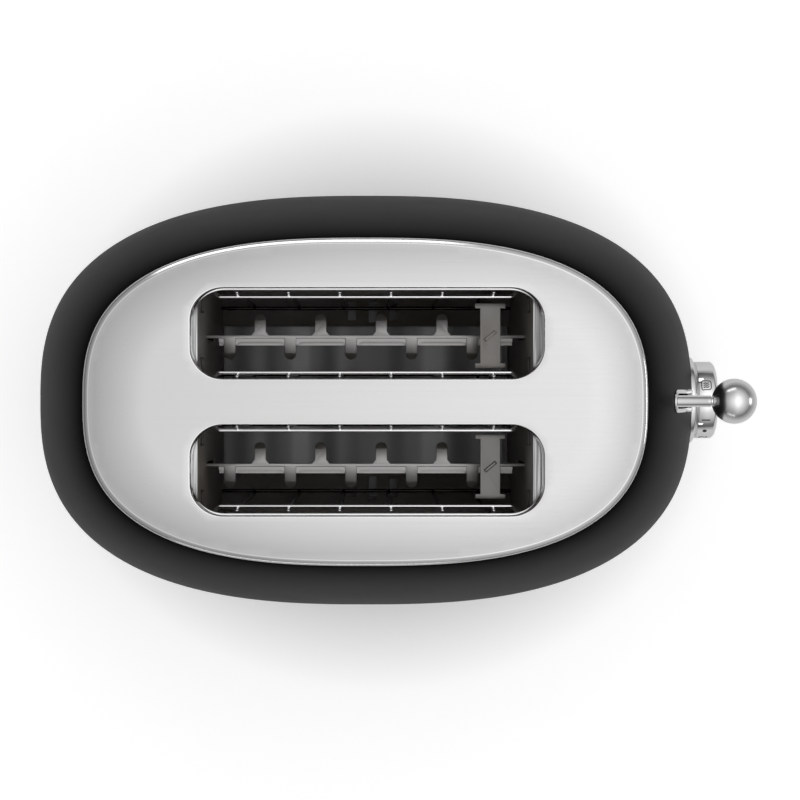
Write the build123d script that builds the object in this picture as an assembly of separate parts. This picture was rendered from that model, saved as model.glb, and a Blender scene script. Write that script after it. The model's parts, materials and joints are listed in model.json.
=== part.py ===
from build123d import *
from math import cos, pi, sin
import os

# Two-slice toaster with an oval case. Millimetres, +Z up, the table at z = 0.
# The lever end points along +X. Everything is drawn about the middle of the case,
# and save() moves it so that the origin lies under the middle of the whole toaster.

# Case
case_length = 310.0
case_width = 195.0
crown_height = 198.0
widest_height = 64.0
case_bottom = 19.0
case_sheet = 1.2
case_exponent = 2.6
shoulder_power = 1.35
bottom_tuck = 5.0
mouth_length = 237.2
mouth_width = 137.6
mouth_exponent = 2.7
mouth_flange = 7.0
oval_points = 40
shoulder_bands = 16
tuck_bands = 4

# Top plate
plate_height = 5.0
plate_edge_height = 1.4
plate_sheet = 1.0
plate_reveal = 0.2
plate_shoulder = 25.0
plate_bands = 7
slot_length = 148.4
slot_width = 38.0
slot_corner = 14.0
slot_pitch = 57.2
lip_depth = 8.0
lip_taper = 0.4

# Base
foot_height = 5.0
foot_diameter = 18.0
foot_neck_diameter = 12.0
foot_inset_x = 54.6
foot_inset_y = 36.1
skirt_wall = 3.0
skirt_reveal = 0.4
skirt_ledge_width = 8.0
skirt_ledge_height = 3.0
skirt_upstand = 5.0
base_sheet = 1.2

# Toasting chamber; drops are measured down from the crown, rooms from the middle of a slot
chamber_overlap = 2.8
chamber_sheet = 1.0
end_plate_room = 4.0
end_plate_drop = 12.0
end_plate_flange = 9.0
end_plate_ear = 10.0
end_plate_hem = 9.0
tray_passage_height = 9.0
reflector_sheet = 0.6
reflector_room = 27.4
reflector_drop = 23.0
reflector_knee = 42.0
reflector_foot = 20.0
reflector_run = 19.5
vent_long = 16.0
vent_short = 13.0
vent_width = 4.0
vent_middle = 3.3
vent_pitch = 10.3
vent_lowering = 2.6
board_sheet = 0.6
board_bottom = 45.0
board_drop = 33.0
outer_board_room = 22.9
inner_board_room = 22.6
ribbon_sheet = 0.3
ribbon_width = 1.6
ribbon_end_margin = 8.0
ribbon_rows = 9
ribbon_margin = 7.0

# Bread guards
guard_wire = 1.6
guard_offset = 16.25
guard_drop = 24.0
guard_tip = 4.0
guard_tip_lean = 2.0
guard_pivot_height = 34.0
guard_end_margin = 8.25
guard_end_drop = 5.0
guard_bars = 6
guard_bar_pitch = 21.9
guard_pivot_overhang = 1.5
guard_cam_step = 3.2
guard_cam_rise = 14.0
guard_cam_ramp = 8.0
guard_weld = 0.3

# Bread carriage
carriage_travel = 52.0
rack_drop = 63.0
rack_web = 1.5
rack_web_height = 4.0
rack_tab_sheet = 0.8
rack_tab_width = 5.2
rack_tab_reach = 10.1
rack_tab_tip = 3.0
rack_tab_drop = 1.6
rack_tabs = 9
rack_tab_pitch = 13.52
rack_tab_inset = 10.4
rack_gusset_width = 8.0
rack_gusset_depth = 3.3
spreader_rise = 18.0
spreader_sheet = 1.0
spreader_web = 8.8
spreader_flange = 13.3
spreader_span = 28.4
spreader_flange_width = 2.2
spreader_inset = 16.4
spreader_post = 6.0
spreader_tab = 1.2
spreader_twist = 40.0
bracket_offset = 5.5
bracket_sheet = 1.5
bracket_bar_width = 72.0
bracket_bar_height = 14.0
bracket_tongue_width = 18.0
bracket_drop = 35.0
bush_length = 14.0
bush_width = 16.0
bush_drop = 15.0
bush_cap = 3.0
lever_rise = 21.0
lever_diameter = 5.1
ball_diameter = 19.7
ball_standoff = 5.9
guide_diameter = 5.0
guide_drop = 20.0
guide_mount_sheet = 2.0
guide_mount_width = 22.0
rod_foot_diameter = 15.0
rod_foot_height = 10.0
spring_diameter = 7.0
spring_wire = 0.8
spring_turns = 14
spring_offset_y = 24.0
spring_seat = 6.0
armature_width = 18.0
armature_sheet = 2.0
armature_drop = 6.0
magnet_offset_y = -24.0
magnet_gap = 0.3
magnet_pole = 6.0
magnet_pole_length = 20.0
magnet_yoke = 6.0
magnet_depth = 11.0
magnet_shelf_sheet = 1.5
magnet_shelf_leaf = 12.0
coil_wall = 3.0
coil_cheek = 1.0

# Lever slot and its trim
lever_slot_width = 6.5
lever_slot_room = 0.6
trim_border = 2.2
trim_proud = 1.0

# Dial and cancel button
dial_gap = 16.2
dial_diameter = 36.6
dial_depth = 8.4
dial_edge_round = 1.2
dial_floor = 3.0
bezel_diameter = 40.9
bezel_bore = 24.0
bezel_proud = 2.6
dial_shaft_diameter = 10.0
dial_shaft_bore = 6.2
cancel_diameter = 15.0
cancel_cap = 4.6
cancel_proud = 0.8
cancel_travel = 1.5
cancel_stem_diameter = 6.0

# Controls behind the dial
control_board_inset = 32.4
control_board_sheet = 1.6
control_board_width = 64.0
control_board_top = 86.0
board_post_width = 6.0
board_post_depth = 9.0
board_post_height = 46.0
control_pot_diameter = 20.0
control_pot_depth = 8.4
cancel_switch_diameter = 5.0
capacitor_diameter = 10.0
capacitor_length = 14.0
capacitor_place = (-20.0, 26.0)
relay_size = (15.0, 19.0, 15.0)
relay_place = (17.5, 19.5)
chip_size = (3.0, 12.0, 18.0)
chip_place = (-6.0, 47.0)
resistor_diameter = 3.0
resistor_pitch = 6.0
resistor_place = (6.0, 40.0)
resistors = 4

# Mains parts
switch_block_size = (14.0, 12.0, 26.0)
switch_block_y = 33.0
contact_room = 10.8
contact_sheet = 0.5
contact_width = 5.0
terminal_size = (30.0, 14.0, 12.0)
terminal_x = -30.0
terminal_room = 2.0
terminal_screw = 5.0
gland_diameter = 12.0
gland_flange = 14.0
gland_bore = 7.0
gland_x = -60.0
gland_inset = 26.1

# Crumb tray
tray_width = 98.0
tray_sheet = 0.8
tray_wall_height = 6.5
tray_front_inset = 25.0
tray_inner_gap = 3.0
pull_wall = 2.4
pull_height = 7.2
pull_lip = 3.4
pull_lip_width = 50.0
pull_lip_height = 2.4
pull_ear_width = 10.0
pull_ear_offset = 25.0

# Screws
screw_diameter = 3.0
screw_head = 6.0
screw_head_height = 2.0
screw_length = 8.0
base_screw_points = (4, 16, 24, 36)

# Clearances
seat_gap = 0.2
part_gap = 0.3
running_gap = 0.05
screw_gap = 0.15
panel_gap = 0.6

# Levels and places that follow from the sizes above
case_top = crown_height - plate_height
base_top = foot_height + skirt_ledge_height + base_sheet
skirt_length = case_length - 2 * bottom_tuck - 2 * skirt_reveal
skirt_width = case_width - 2 * bottom_tuck - 2 * skirt_reveal
slot_centres = (slot_pitch / 2, -slot_pitch / 2)
chamber_end = slot_length / 2 - lip_taper - chamber_overlap
chamber_outside = chamber_end + chamber_sheet
outer_board_offset = slot_pitch / 2 + outer_board_room
inner_board_offset = slot_pitch / 2 - inner_board_room
reflector_offset = slot_pitch / 2 + reflector_room
reflector_foot_offset = reflector_offset - reflector_run
reflector_top = crown_height - reflector_drop
end_plate_half = reflector_offset + end_plate_room
end_plate_top = crown_height - end_plate_drop
board_top = crown_height - board_drop
guard_top = crown_height - guard_drop
guard_half = chamber_end - guard_end_margin
rack_height = crown_height - rack_drop
guard_cam_top = rack_height + guard_cam_rise
guard_cam_bottom = guard_cam_top - guard_cam_ramp
rack_tab_start = rack_tab_inset - chamber_end
spreader_height = rack_height + spreader_rise
spreader_centre = chamber_end - spreader_inset
lever_height = rack_height + lever_rise
ball_reach = case_length / 2 + ball_standoff
bracket_back = chamber_outside + bracket_offset
bracket_front = bracket_back + bracket_sheet
bracket_bottom = rack_height - bracket_drop
spring_bottom = bracket_bottom + spring_seat
guide_x = bracket_front + bush_length / 2
guide_top = crown_height - guide_drop
bush_bottom = rack_height - bush_drop
bush_top = lever_height + lever_diameter / 2 + part_gap + bush_cap
armature_bottom = rack_height - bracket_bar_height / 2 - armature_drop
magnet_top = armature_bottom - carriage_travel - magnet_gap
lever_slot_top = lever_height + lever_diameter / 2 + lever_slot_room
lever_slot_bottom = lever_height - carriage_travel - lever_diameter / 2 - lever_slot_room
dial_height = lever_slot_bottom - trim_border - dial_gap - bezel_diameter / 2
bezel_front = case_length / 2 + bezel_proud
dial_back = bezel_front + part_gap
dial_front = dial_back + dial_depth
cap_back = dial_front + cancel_proud - cancel_cap
cap_seat = cap_back - cancel_travel - part_gap
control_board_face = case_length / 2 - control_board_inset
stem_end = control_board_face + cancel_switch_diameter + cancel_travel + part_gap
contact_top = rack_height - bracket_bar_height / 2 - carriage_travel - contact_room
terminal_y = end_plate_half + terminal_room + terminal_size[1] / 2
gland_y = gland_inset - skirt_width / 2
tray_front_wall = tray_front_inset - case_length / 2
tray_bottom = base_top + part_gap
frame_shift = (ball_reach + ball_diameter / 2 - case_length / 2) / 2


# Point number index of a superellipse at height z, counted from the +X end
def oval_point(length, width, exponent, z, index):
    angle = 2 * pi * index / oval_points
    along = abs(cos(angle)) ** (2 / exponent)
    across = abs(sin(angle)) ** (2 / exponent)
    x = length / 2 * (along if cos(angle) > 0 else -along)
    y = width / 2 * (across if sin(angle) > 0 else -across)
    return Vector(x, y, z)


# Share of the case's outline that lies before each point
def oval_shares():
    travelled = [0.0]
    for index in range(oval_points):
        start = oval_point(case_length, case_width, case_exponent, 0, index)
        end = oval_point(case_length, case_width, case_exponent, 0, index + 1)
        travelled.append(travelled[-1] + (end - start).length)
    return [value / travelled[-1] for value in travelled]


# Closed oval curve; all ovals share one spacing, so that surfaces between them run straight
def oval_wire(length, width, exponent, z):
    points = [oval_point(length, width, exponent, z, index) for index in range(oval_points)]
    return Wire([Edge.make_spline(points, periodic=True, parameters=oval_shares())])


def oval_face(length, width, exponent, z):
    return Face(oval_wire(length, width, exponent, z))


def oval_block(length, width, exponent, bottom, top):
    return extrude(oval_face(length, width, exponent, bottom), top - bottom, dir=(0, 0, 1))


# Case as one solid, its surface moved inwards by inset (outwards if negative)
def case_solid(inset):
    wires = []
    for band in range(tuck_bands):
        share = 1 - band / tuck_bands
        z = widest_height - share * (widest_height - case_bottom)
        spread = 2 * (bottom_tuck * share ** 2 + inset)
        wires.append(oval_wire(case_length - spread, case_width - spread, case_exponent, z))
    rise = case_top - inset - widest_height
    reach_x = (case_length - mouth_length) / 2 - inset
    reach_y = (case_width - mouth_width) / 2 - inset
    for band in range(shoulder_bands + 1):
        turn = pi / 2 * band / shoulder_bands
        out = abs(cos(turn)) ** (2 / shoulder_power)
        up = sin(turn) ** (2 / shoulder_power)
        exponent = case_exponent + (mouth_exponent - case_exponent) * up
        length = mouth_length + 2 * reach_x * out
        width = mouth_width + 2 * reach_y * out
        wires.append(oval_wire(length, width, exponent, widest_height + rise * up))
    return Solid.make_loft(wires, True)


# Box given by its corners
def block(x0, x1, y0, y1, z0, z1):
    size = Box(x1 - x0, y1 - y0, z1 - z0)
    return Pos((x0 + x1) / 2, (y0 + y1) / 2, (z0 + z1) / 2) * size


# Upright round bar between two heights
def post(x, y, diameter, z0, z1):
    return Pos(x, y, (z0 + z1) / 2) * Cylinder(diameter / 2, z1 - z0)


# Round bar along X between two places
def rod_x(x0, x1, y, z, diameter):
    return Pos((x0 + x1) / 2, y, z) * Rot(0, 90, 0) * Cylinder(diameter / 2, x1 - x0)


# Flat outline in the YZ plane, stretched along X
def stretch_x(points, x0, x1):
    outline = Polyline(*[(x0, y, z) for y, z in points], close=True)
    return extrude(Face(Wire(outline)), x1 - x0, dir=(1, 0, 0))


# Upright slot shape with round ends, centred on y = 0, cut through the lever end
def lever_prism(width, bottom, top):
    middle = (bottom + top) / 2
    inside = mouth_length / 2 - width
    outside = case_length / 2 + width
    outline = Plane(origin=(inside, 0, middle), x_dir=(0, 0, 1), z_dir=(1, 0, 0))
    return extrude(outline * SlotOverall(top - bottom, width), outside - inside)


def together(pieces):
    return pieces[0] + pieces[1:]


def save(name, pieces):
    shapes = pieces if isinstance(pieces, list) else [pieces]
    solids = []
    for shape in shapes:
        solids.extend((Pos(-frame_shift, 0, 0) * shape).solids())
    whole = solids[0] if len(solids) == 1 else Compound(children=solids)
    export_step(whole, os.path.join("parts", name + ".step"))


# Pressed case with its turned-in mouth flange, lever slot and dial hole
def body_shell(case):
    shell = case - case_solid(case_sheet)
    mouth = oval_block(mouth_length - 2 * mouth_flange, mouth_width - 2 * mouth_flange,
                       mouth_exponent, case_top - 2 * case_sheet, case_top + case_sheet)
    shell = shell - mouth
    shell = shell - lever_prism(lever_slot_width, lever_slot_bottom, lever_slot_top)
    hole = dial_shaft_diameter + 2 * part_gap
    shell = shell - rod_x(control_board_face, bezel_front, 0, dial_height, hole)
    return shell


# Plate over the mouth, domed over its shoulder, as a solid down to its seat
def plate_solid(drop):
    edge = case_top + plate_edge_height - drop
    rise = plate_height - plate_edge_height
    length = mouth_length - 2 * plate_reveal - 2 * drop
    width = mouth_width - 2 * plate_reveal - 2 * drop
    wires = [oval_wire(length, width, mouth_exponent, case_top)]
    for band in range(plate_bands + 1):
        share = (band / plate_bands) ** 2
        inset = 2 * plate_shoulder * share
        z = edge + rise * (1 - (1 - share) ** 2)
        wires.append(oval_wire(length - inset, width - inset, mouth_exponent, z))
    return Solid.make_loft(wires, True)


# Tapering block in a bread slot between two heights; grow 0 gives the slot's own opening
def slot_taper(centre, grow, bottom, top):
    wires = []
    for z in (bottom, top):
        share = (crown_height - z) / lip_depth
        length = slot_length - 2 * lip_taper * share + 2 * grow
        width = slot_width - lip_taper * share + 2 * grow
        corner = slot_corner - lip_taper / 2 * share + grow
        outline = Pos(0, centre, z) * RectangleRounded(length, width, corner)
        wires.append(outline.faces()[0].outer_wire())
    return Solid.make_loft(wires, True)


def top_plate():
    lip_bottom = crown_height - lip_depth
    over_crown = crown_height + plate_sheet
    hollow = plate_solid(plate_sheet)
    for centre in slot_centres:
        hollow = hollow - slot_taper(centre, plate_sheet, lip_bottom, over_crown)
    plate = plate_solid(0) - hollow
    plate = plate + [slot_taper(centre, plate_sheet, lip_bottom, case_top) for centre in slot_centres]
    for centre in slot_centres:
        plate = plate - slot_taper(centre, 0, lip_bottom - plate_sheet, over_crown)
    return plate


# Solid with the skirt's outline, drawn in by inset
def skirt_block(inset, bottom, top):
    return oval_block(skirt_length - 2 * inset, skirt_width - 2 * inset, case_exponent, bottom, top)


def tray_window():
    half = tray_width / 2 + panel_gap + tray_sheet
    top = tray_bottom + pull_height + part_gap
    return block(-case_length, tray_front_wall + panel_gap, -half, half, base_top, top)


def base_skirt():
    top = case_bottom + skirt_upstand
    ledge_top = foot_height + skirt_ledge_height
    skirt = skirt_block(0, foot_height, case_bottom)
    skirt = skirt + skirt_block(case_sheet + part_gap, case_bottom, top)
    skirt = skirt - skirt_block(skirt_wall, ledge_top, top)
    skirt = skirt - skirt_block(skirt_wall + skirt_ledge_width, foot_height, ledge_top)
    skirt = skirt - tray_window()
    for x, y in base_screw_places():
        skirt = skirt - post(x, y, screw_diameter + 2 * screw_gap, foot_height, base_top)
        head = screw_head + 2 * part_gap
        skirt = skirt - post(x, y, head, foot_height, foot_height + screw_head_height)
    return skirt


def base_screw_places():
    inset = skirt_wall + skirt_ledge_width / 2
    places = []
    for index in base_screw_points:
        place = oval_point(skirt_length - 2 * inset, skirt_width - 2 * inset, case_exponent, 0, index)
        places.append((place.X, place.Y))
    return places


# Screw pointing up (sign 1) or down (sign -1), its head's flat side on the given level
def screw(x, y, level, sign):
    head_end = level - sign * screw_head_height
    shank_end = level + sign * (screw_length - screw_head_height)
    head = post(x, y, screw_head, min(level, head_end), max(level, head_end))
    shank = post(x, y, screw_diameter, min(level, shank_end), max(level, shank_end))
    return head + shank


def chassis_screw_places():
    across = (end_plate_half + tray_width / 2 + panel_gap) / 2
    along = chamber_outside + end_plate_flange / 2
    return [(x, y) for x in (-along, along) for y in (-across, across)]


def base_plate():
    bottom = foot_height + skirt_ledge_height
    plate = skirt_block(skirt_wall + part_gap, bottom, base_top)
    for x, y in base_screw_places() + chassis_screw_places():
        plate = plate - post(x, y, screw_diameter + 2 * screw_gap, bottom, base_top)
    return plate - post(gland_x, gland_y, gland_diameter + 2 * screw_gap, bottom, base_top)


def rubber_feet():
    feet = []
    foot_x = skirt_length / 2 - foot_inset_x
    foot_y = skirt_width / 2 - foot_inset_y
    for x in (-foot_x, foot_x):
        for y in (-foot_y, foot_y):
            pad = post(x, y, foot_diameter, 0, foot_height)
            neck_top = foot_height + skirt_ledge_height
            feet.append(pad + post(x, y, foot_neck_diameter, 0, neck_top))
    return feet


def base_screws():
    head_level = foot_height + screw_head_height
    return [screw(x, y, head_level, 1) for x, y in base_screw_places()]


def chassis_screws():
    flange_level = base_top + chamber_sheet
    return [screw(x, y, flange_level, -1) for x, y in chassis_screw_places()]


# Border round the lever slot, following the slope of the case
def lever_trim():
    outer = lever_prism(lever_slot_width + 2 * trim_border - 2 * running_gap,
                        lever_slot_bottom - trim_border, lever_slot_top + trim_border)
    opening = lever_prism(lever_slot_width, lever_slot_bottom, lever_slot_top)
    proud = (outer - opening) & case_solid(-trim_proud)
    return proud - case_solid(-seat_gap)


def dial_bezel():
    ring = rod_x(mouth_length / 2, bezel_front, 0, dial_height, bezel_diameter)
    ring = ring - rod_x(mouth_length / 2, bezel_front, 0, dial_height, bezel_bore)
    return ring - case_solid(-seat_gap)


# Upright end plate of the chamber; side is 1 at the lever end and -1 at the tray end
def end_plate(side):
    inner = side * chamber_end
    outer = side * chamber_outside
    half = end_plate_half
    x0 = min(inner, outer)
    x1 = max(inner, outer)
    plate = block(x0, x1, -half, half, base_top, end_plate_top)
    flange_end = outer + side * end_plate_flange
    for y0, y1 in ((half - end_plate_ear, half), (-half, end_plate_ear - half)):
        plate = plate + block(min(outer, flange_end), max(outer, flange_end), y0, y1,
                              base_top, base_top + chamber_sheet)
    hem_end = outer + side * end_plate_hem
    plate = plate + block(min(outer, hem_end), max(outer, hem_end), -half, half,
                          end_plate_top - chamber_sheet, end_plate_top)
    passage_half = tray_width / 2 + panel_gap
    if side < 0:
        plate = plate - block(flange_end, inner, -passage_half, passage_half,
                              base_top, base_top + tray_passage_height)
    tongue_bottom = rack_height - rack_web_height - carriage_travel - part_gap
    tongue_half = rack_web / 2 + part_gap
    for centre in slot_centres:
        plate = plate - block(x0, x1, centre - tongue_half, centre + tongue_half,
                              tongue_bottom, rack_height + part_gap)
        for lean in (-1, 1):
            hole = guard_wire + 2 * running_gap
            plate = plate - rod_x(x0, x1, centre + lean * guard_offset, guard_pivot_height, hole)
    for x, y in chassis_screw_places():
        hole = screw_diameter + 2 * screw_gap
        plate = plate - post(x, y, hole, base_top, base_top + chamber_sheet)
    return plate


# Sheet behind an outer heater, bent inwards at its foot, with three vents in the slope
def outer_reflector(side):
    run = reflector_offset - reflector_foot_offset
    drop = reflector_knee - reflector_foot
    slope = (run ** 2 + drop ** 2) ** 0.5
    shift_y = reflector_sheet * drop / slope
    shift_z = reflector_sheet * run / slope
    outer_y = reflector_offset + reflector_sheet
    knee_z = reflector_knee + (outer_y - reflector_offset - shift_y) * drop / run - shift_z
    points = [
        (reflector_offset, reflector_top),
        (outer_y, reflector_top),
        (outer_y, knee_z),
        (reflector_foot_offset + shift_y, reflector_foot - shift_z),
        (reflector_foot_offset, reflector_foot),
        (reflector_offset, reflector_knee),
    ]
    sheet = stretch_x([(side * y, z) for y, z in points], -chamber_end, chamber_end)
    middle_y = side * ((reflector_offset + reflector_foot_offset) / 2 - vent_lowering)
    for index, length in ((-1, vent_short), (0, vent_long), (1, vent_short)):
        x = vent_middle + index * vent_pitch
        half = length / 2 * run / slope
        sheet = sheet - block(x - vent_width / 2, x + vent_width / 2, middle_y - half, middle_y + half,
                              0, reflector_knee)
    return sheet


# Upright heater card at y, its bread side facing the given way
def heater_board(y, facing):
    y0 = min(y, y - facing * board_sheet)
    y1 = max(y, y - facing * board_sheet)
    return block(-chamber_end, chamber_end, y0, y1, board_bottom, board_top)


# Flat heating ribbon that runs to and fro over the card
def heater_ribbon(y, facing):
    y0 = min(y, y + facing * ribbon_sheet)
    y1 = max(y, y + facing * ribbon_sheet)
    half = chamber_end - ribbon_end_margin
    first = board_bottom + ribbon_margin
    step = (board_top - board_bottom - 2 * ribbon_margin) / (ribbon_rows - 1)
    pieces = []
    for row in range(ribbon_rows):
        z = first + row * step
        pieces.append(block(-half, half, y0, y1, z - ribbon_width / 2, z + ribbon_width / 2))
        if row < ribbon_rows - 1:
            end = half - ribbon_width if row % 2 == 0 else -half
            pieces.append(block(end, end + ribbon_width, y0, y1, z, z + step))
    return together(pieces)


# Straight wire between two points, its ends rounded
def wire_run(start, end):
    direction = Vector(*end) - Vector(*start)
    bar = Plane(origin=start, z_dir=direction) * Cylinder(
        guard_wire / 2, direction.length, align=(Align.CENTER, Align.CENTER, Align.MIN))
    return bar + Pos(*end) * Sphere(guard_wire / 2)


# Bread guard of welded wires in the plane y = 0, its bread side facing -Y
def bread_guard():
    half = guard_half
    pivot_end = chamber_outside + guard_pivot_overhang
    pieces = [rod_x(-pivot_end, pivot_end, 0, guard_pivot_height, guard_wire)]
    pieces.append(rod_x(-half, half, 0, guard_top, guard_wire))
    for side in (-1, 1):
        corner = (side * half, 0, guard_top)
        end = (side * (half + guard_end_drop), guard_end_drop, guard_top - guard_end_drop)
        pieces.append(Pos(*corner) * Sphere(guard_wire / 2))
        pieces.append(wire_run(corner, end))
    weld_y = guard_wire - guard_weld
    cam_y = weld_y + guard_cam_step
    tip_y = weld_y + guard_tip_lean
    for bar in range(guard_bars):
        x = (bar - (guard_bars - 1) / 2) * guard_bar_pitch
        is_cam = bar == guard_bars - 1
        foot = (x, 0, guard_pivot_height)
        knee = (x, weld_y, guard_pivot_height + 2 * guard_wire)
        top = (x, weld_y, guard_top)
        tip = (x, tip_y, guard_top + guard_tip)
        pieces.append(wire_run(foot, knee))
        if is_cam:
            low = (x, cam_y, guard_pivot_height + 2 * guard_wire + 2 * guard_cam_step)
            cam_low = (x, cam_y, guard_cam_bottom)
            cam_high = (x, weld_y, guard_cam_top)
            pieces.append(wire_run(knee, low))
            pieces.append(wire_run(low, cam_low))
            pieces.append(wire_run(cam_low, cam_high))
            pieces.append(wire_run(cam_high, top))
        else:
            pieces.append(wire_run(knee, top))
        pieces.append(wire_run(top, tip))
    return together(pieces)


# Sheet rack that carries one slice: an upright web with bent tabs on either side
def bread_rack():
    web_bottom = rack_height - rack_web_height
    rear = -chamber_outside - guard_pivot_overhang
    web = block(rear, bracket_back, -rack_web / 2, rack_web / 2, web_bottom, rack_height)
    pieces = [web]
    tab_bottom = rack_height - rack_tab_sheet
    bend = rack_tab_reach - rack_tab_tip
    for index in range(rack_tabs):
        side = -1 if index % 2 == 0 else 1
        x = rack_tab_start + index * rack_tab_pitch
        points = [
            (0, rack_height),
            (bend, rack_height),
            (rack_tab_reach, rack_height - rack_tab_drop),
            (rack_tab_reach, rack_height - rack_tab_drop - rack_tab_sheet),
            (bend, tab_bottom),
            (0, tab_bottom),
        ]
        profile = [(side * y, z) for y, z in points]
        tab = stretch_x(profile, x - rack_tab_width / 2, x + rack_tab_width / 2)
        tip_bottom = tab_bottom - rack_tab_drop
        tip_y = side * (rack_tab_reach - rack_tab_width / 2)
        shape = post(x, tip_y, rack_tab_width, tip_bottom, rack_height)
        shape = shape + block(x - rack_tab_width / 2, x + rack_tab_width / 2, min(0, tip_y), max(0, tip_y),
                              tip_bottom, rack_height)
        pieces.append(tab & shape)
        if side > 0:
            inner = rack_gusset_width / 2
            outer = rack_tab_width / 2
            root = side * rack_web / 2
            end = root + side * rack_gusset_depth / 2
            corners = [(x - inner, root), (x + inner, root), (x + outer, end), (x - outer, end)]
            face = make_face(Polyline(*[(cx, cy, tab_bottom) for cx, cy in corners], close=True).edges())
            pieces.append(extrude(face, rack_tab_sheet, dir=(0, 0, 1)))
    return together(pieces)


# H-shaped plate that keeps the guards apart, on a post that stands on the rack
def guard_spreader():
    bottom = spreader_height - spreader_sheet / 2
    top = spreader_height + spreader_sheet / 2
    web_half = spreader_span / 2
    web = block(spreader_centre - spreader_web / 2, spreader_centre + spreader_web / 2,
                -web_half, web_half, bottom, top)
    pieces = [web]
    for side in (-1, 1):
        edge = side * web_half
        inner = edge - side * spreader_flange_width
        pieces.append(block(spreader_centre - spreader_flange / 2, spreader_centre + spreader_flange / 2,
                            min(edge, inner), max(edge, inner), bottom, top))
    post_half = spreader_post / 2
    pieces.append(block(spreader_centre - post_half, spreader_centre + post_half,
                        -spreader_tab / 2, spreader_tab / 2, rack_height, top))
    twisted = Box(spreader_post, spreader_tab, 2 * spreader_sheet)
    pieces.append(Pos(spreader_centre, 0, top + spreader_sheet) * Rot(0, 0, spreader_twist) * twisted)
    return together(pieces)


# Upright plate that joins both racks at the lever end
def carriage_bracket():
    bar_half = bracket_bar_width / 2
    tongue_half = bracket_tongue_width / 2
    bar_top = rack_height + bracket_bar_height / 2
    bar = block(bracket_back, bracket_front, -bar_half, bar_half, bar_top - bracket_bar_height, bar_top)
    upright = block(bracket_back, bracket_front, -tongue_half, tongue_half, bracket_bottom, bush_top)
    hook_side = spring_offset_y + spring_diameter / 2
    hook = block(bracket_back, bracket_front, 0, hook_side, bracket_bottom,
                 spring_bottom - spring_wire)
    shelf = block(bracket_front, guide_x + spring_diameter / 2, spring_offset_y - spring_diameter / 2,
                  hook_side, spring_bottom - spring_wire - bracket_sheet, spring_bottom - spring_wire)
    return together([bar, upright, hook, shelf])


# Sliding block on the guide rod
def slide_bush():
    back = bracket_front
    half = bush_width / 2
    bush = block(back, back + bush_length, -half, half, bush_bottom, bush_top)
    bore = guide_diameter + 2 * running_gap
    return bush - post(guide_x, 0, bore, bush_bottom, bush_top)


def lever_rod():
    start = bracket_front + bush_length
    return rod_x(start, ball_reach, 0, lever_height, lever_diameter)


def lever_knob():
    ball = Pos(ball_reach, 0, lever_height) * Sphere(ball_diameter / 2)
    bore = lever_diameter + 2 * running_gap
    return ball - rod_x(ball_reach - ball_diameter, ball_reach, 0, lever_height, bore)


def armature_plate():
    y0 = magnet_offset_y - armature_width / 2
    y1 = magnet_offset_y + armature_width / 2
    inner = bracket_front
    top = armature_bottom + armature_sheet
    plate = block(inner, inner + bush_length, y0, y1, armature_bottom, top)
    leaf = block(inner, inner + bracket_sheet, y0, y1, armature_bottom, rack_height)
    return plate + leaf


# Wound tension spring between the carriage's shelf and the upper rod mount
def lift_spring():
    spring_top = guide_top - guide_mount_sheet
    height = spring_top - spring_bottom - 2 * spring_wire
    radius = (spring_diameter - spring_wire) / 2
    pitch = height / spring_turns
    start = spring_bottom + spring_wire / 2
    coil = Helix(pitch, height, radius, center=(guide_x, spring_offset_y, start))
    begin = coil @ 0
    section = Plane(origin=begin, z_dir=coil % 0) * Circle(spring_wire / 2)
    return sweep(section, path=coil)


def guide_rod():
    return post(guide_x, 0, guide_diameter, base_top, guide_top - guide_mount_sheet)


# Angle on the lever-end plate that holds the rod's top and the spring
def rod_mount():
    half = guide_mount_width / 2
    wing = spring_offset_y + spring_diameter / 2
    arm = block(chamber_outside, guide_x + half / 2, -half, wing, guide_top - guide_mount_sheet, guide_top)
    leaf = block(chamber_outside, chamber_outside + guide_mount_sheet, -half, wing,
                 bush_top + part_gap, guide_top)
    return arm + leaf


def rod_foot():
    top = base_top + rod_foot_height
    foot = post(guide_x, 0, rod_foot_diameter, base_top, top)
    return foot - post(guide_x, 0, guide_diameter + 2 * running_gap, base_top, top)


# U-shaped iron core of the holding magnet
def magnet_core():
    x0 = guide_x - magnet_depth / 2
    x1 = guide_x + magnet_depth / 2
    half = armature_width / 2
    y0 = magnet_offset_y - half
    y1 = magnet_offset_y + half
    yoke_bottom = magnet_top - magnet_pole_length - magnet_yoke
    core = block(x0, x1, y0, y1, yoke_bottom, magnet_top)
    gap = block(x0, x1, y0 + magnet_pole, y1, yoke_bottom + magnet_yoke, magnet_top)
    thin_pole = block(x0, x1, y1 - magnet_pole / 2, y1, yoke_bottom, magnet_top)
    return core - gap + thin_pole


# Copper coil on its bobbin round the thick pole
def magnet_coil():
    x0 = guide_x - magnet_depth / 2
    x1 = guide_x + magnet_depth / 2
    y0 = magnet_offset_y - armature_width / 2
    y1 = y0 + magnet_pole
    bottom = magnet_top - magnet_pole_length + running_gap
    top = magnet_top - 2 * coil_cheek
    wall = coil_wall
    coil = block(x0 - wall, x1 + wall, y0 - wall, y1 + wall, bottom, top)
    winding_cut = block(x0 - wall, x1 + wall, y0 - wall, y1 + wall, bottom + coil_cheek, top - coil_cheek)
    winding = block(x0 - wall + coil_cheek, x1 + wall - coil_cheek, y0 - wall + coil_cheek,
                    y1 + wall - coil_cheek, bottom + coil_cheek, top - coil_cheek)
    bobbin = coil - winding_cut + winding
    hole = block(x0 - running_gap, x1 + running_gap, y0 - running_gap, y1 + running_gap, bottom, top)
    return bobbin - hole


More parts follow.
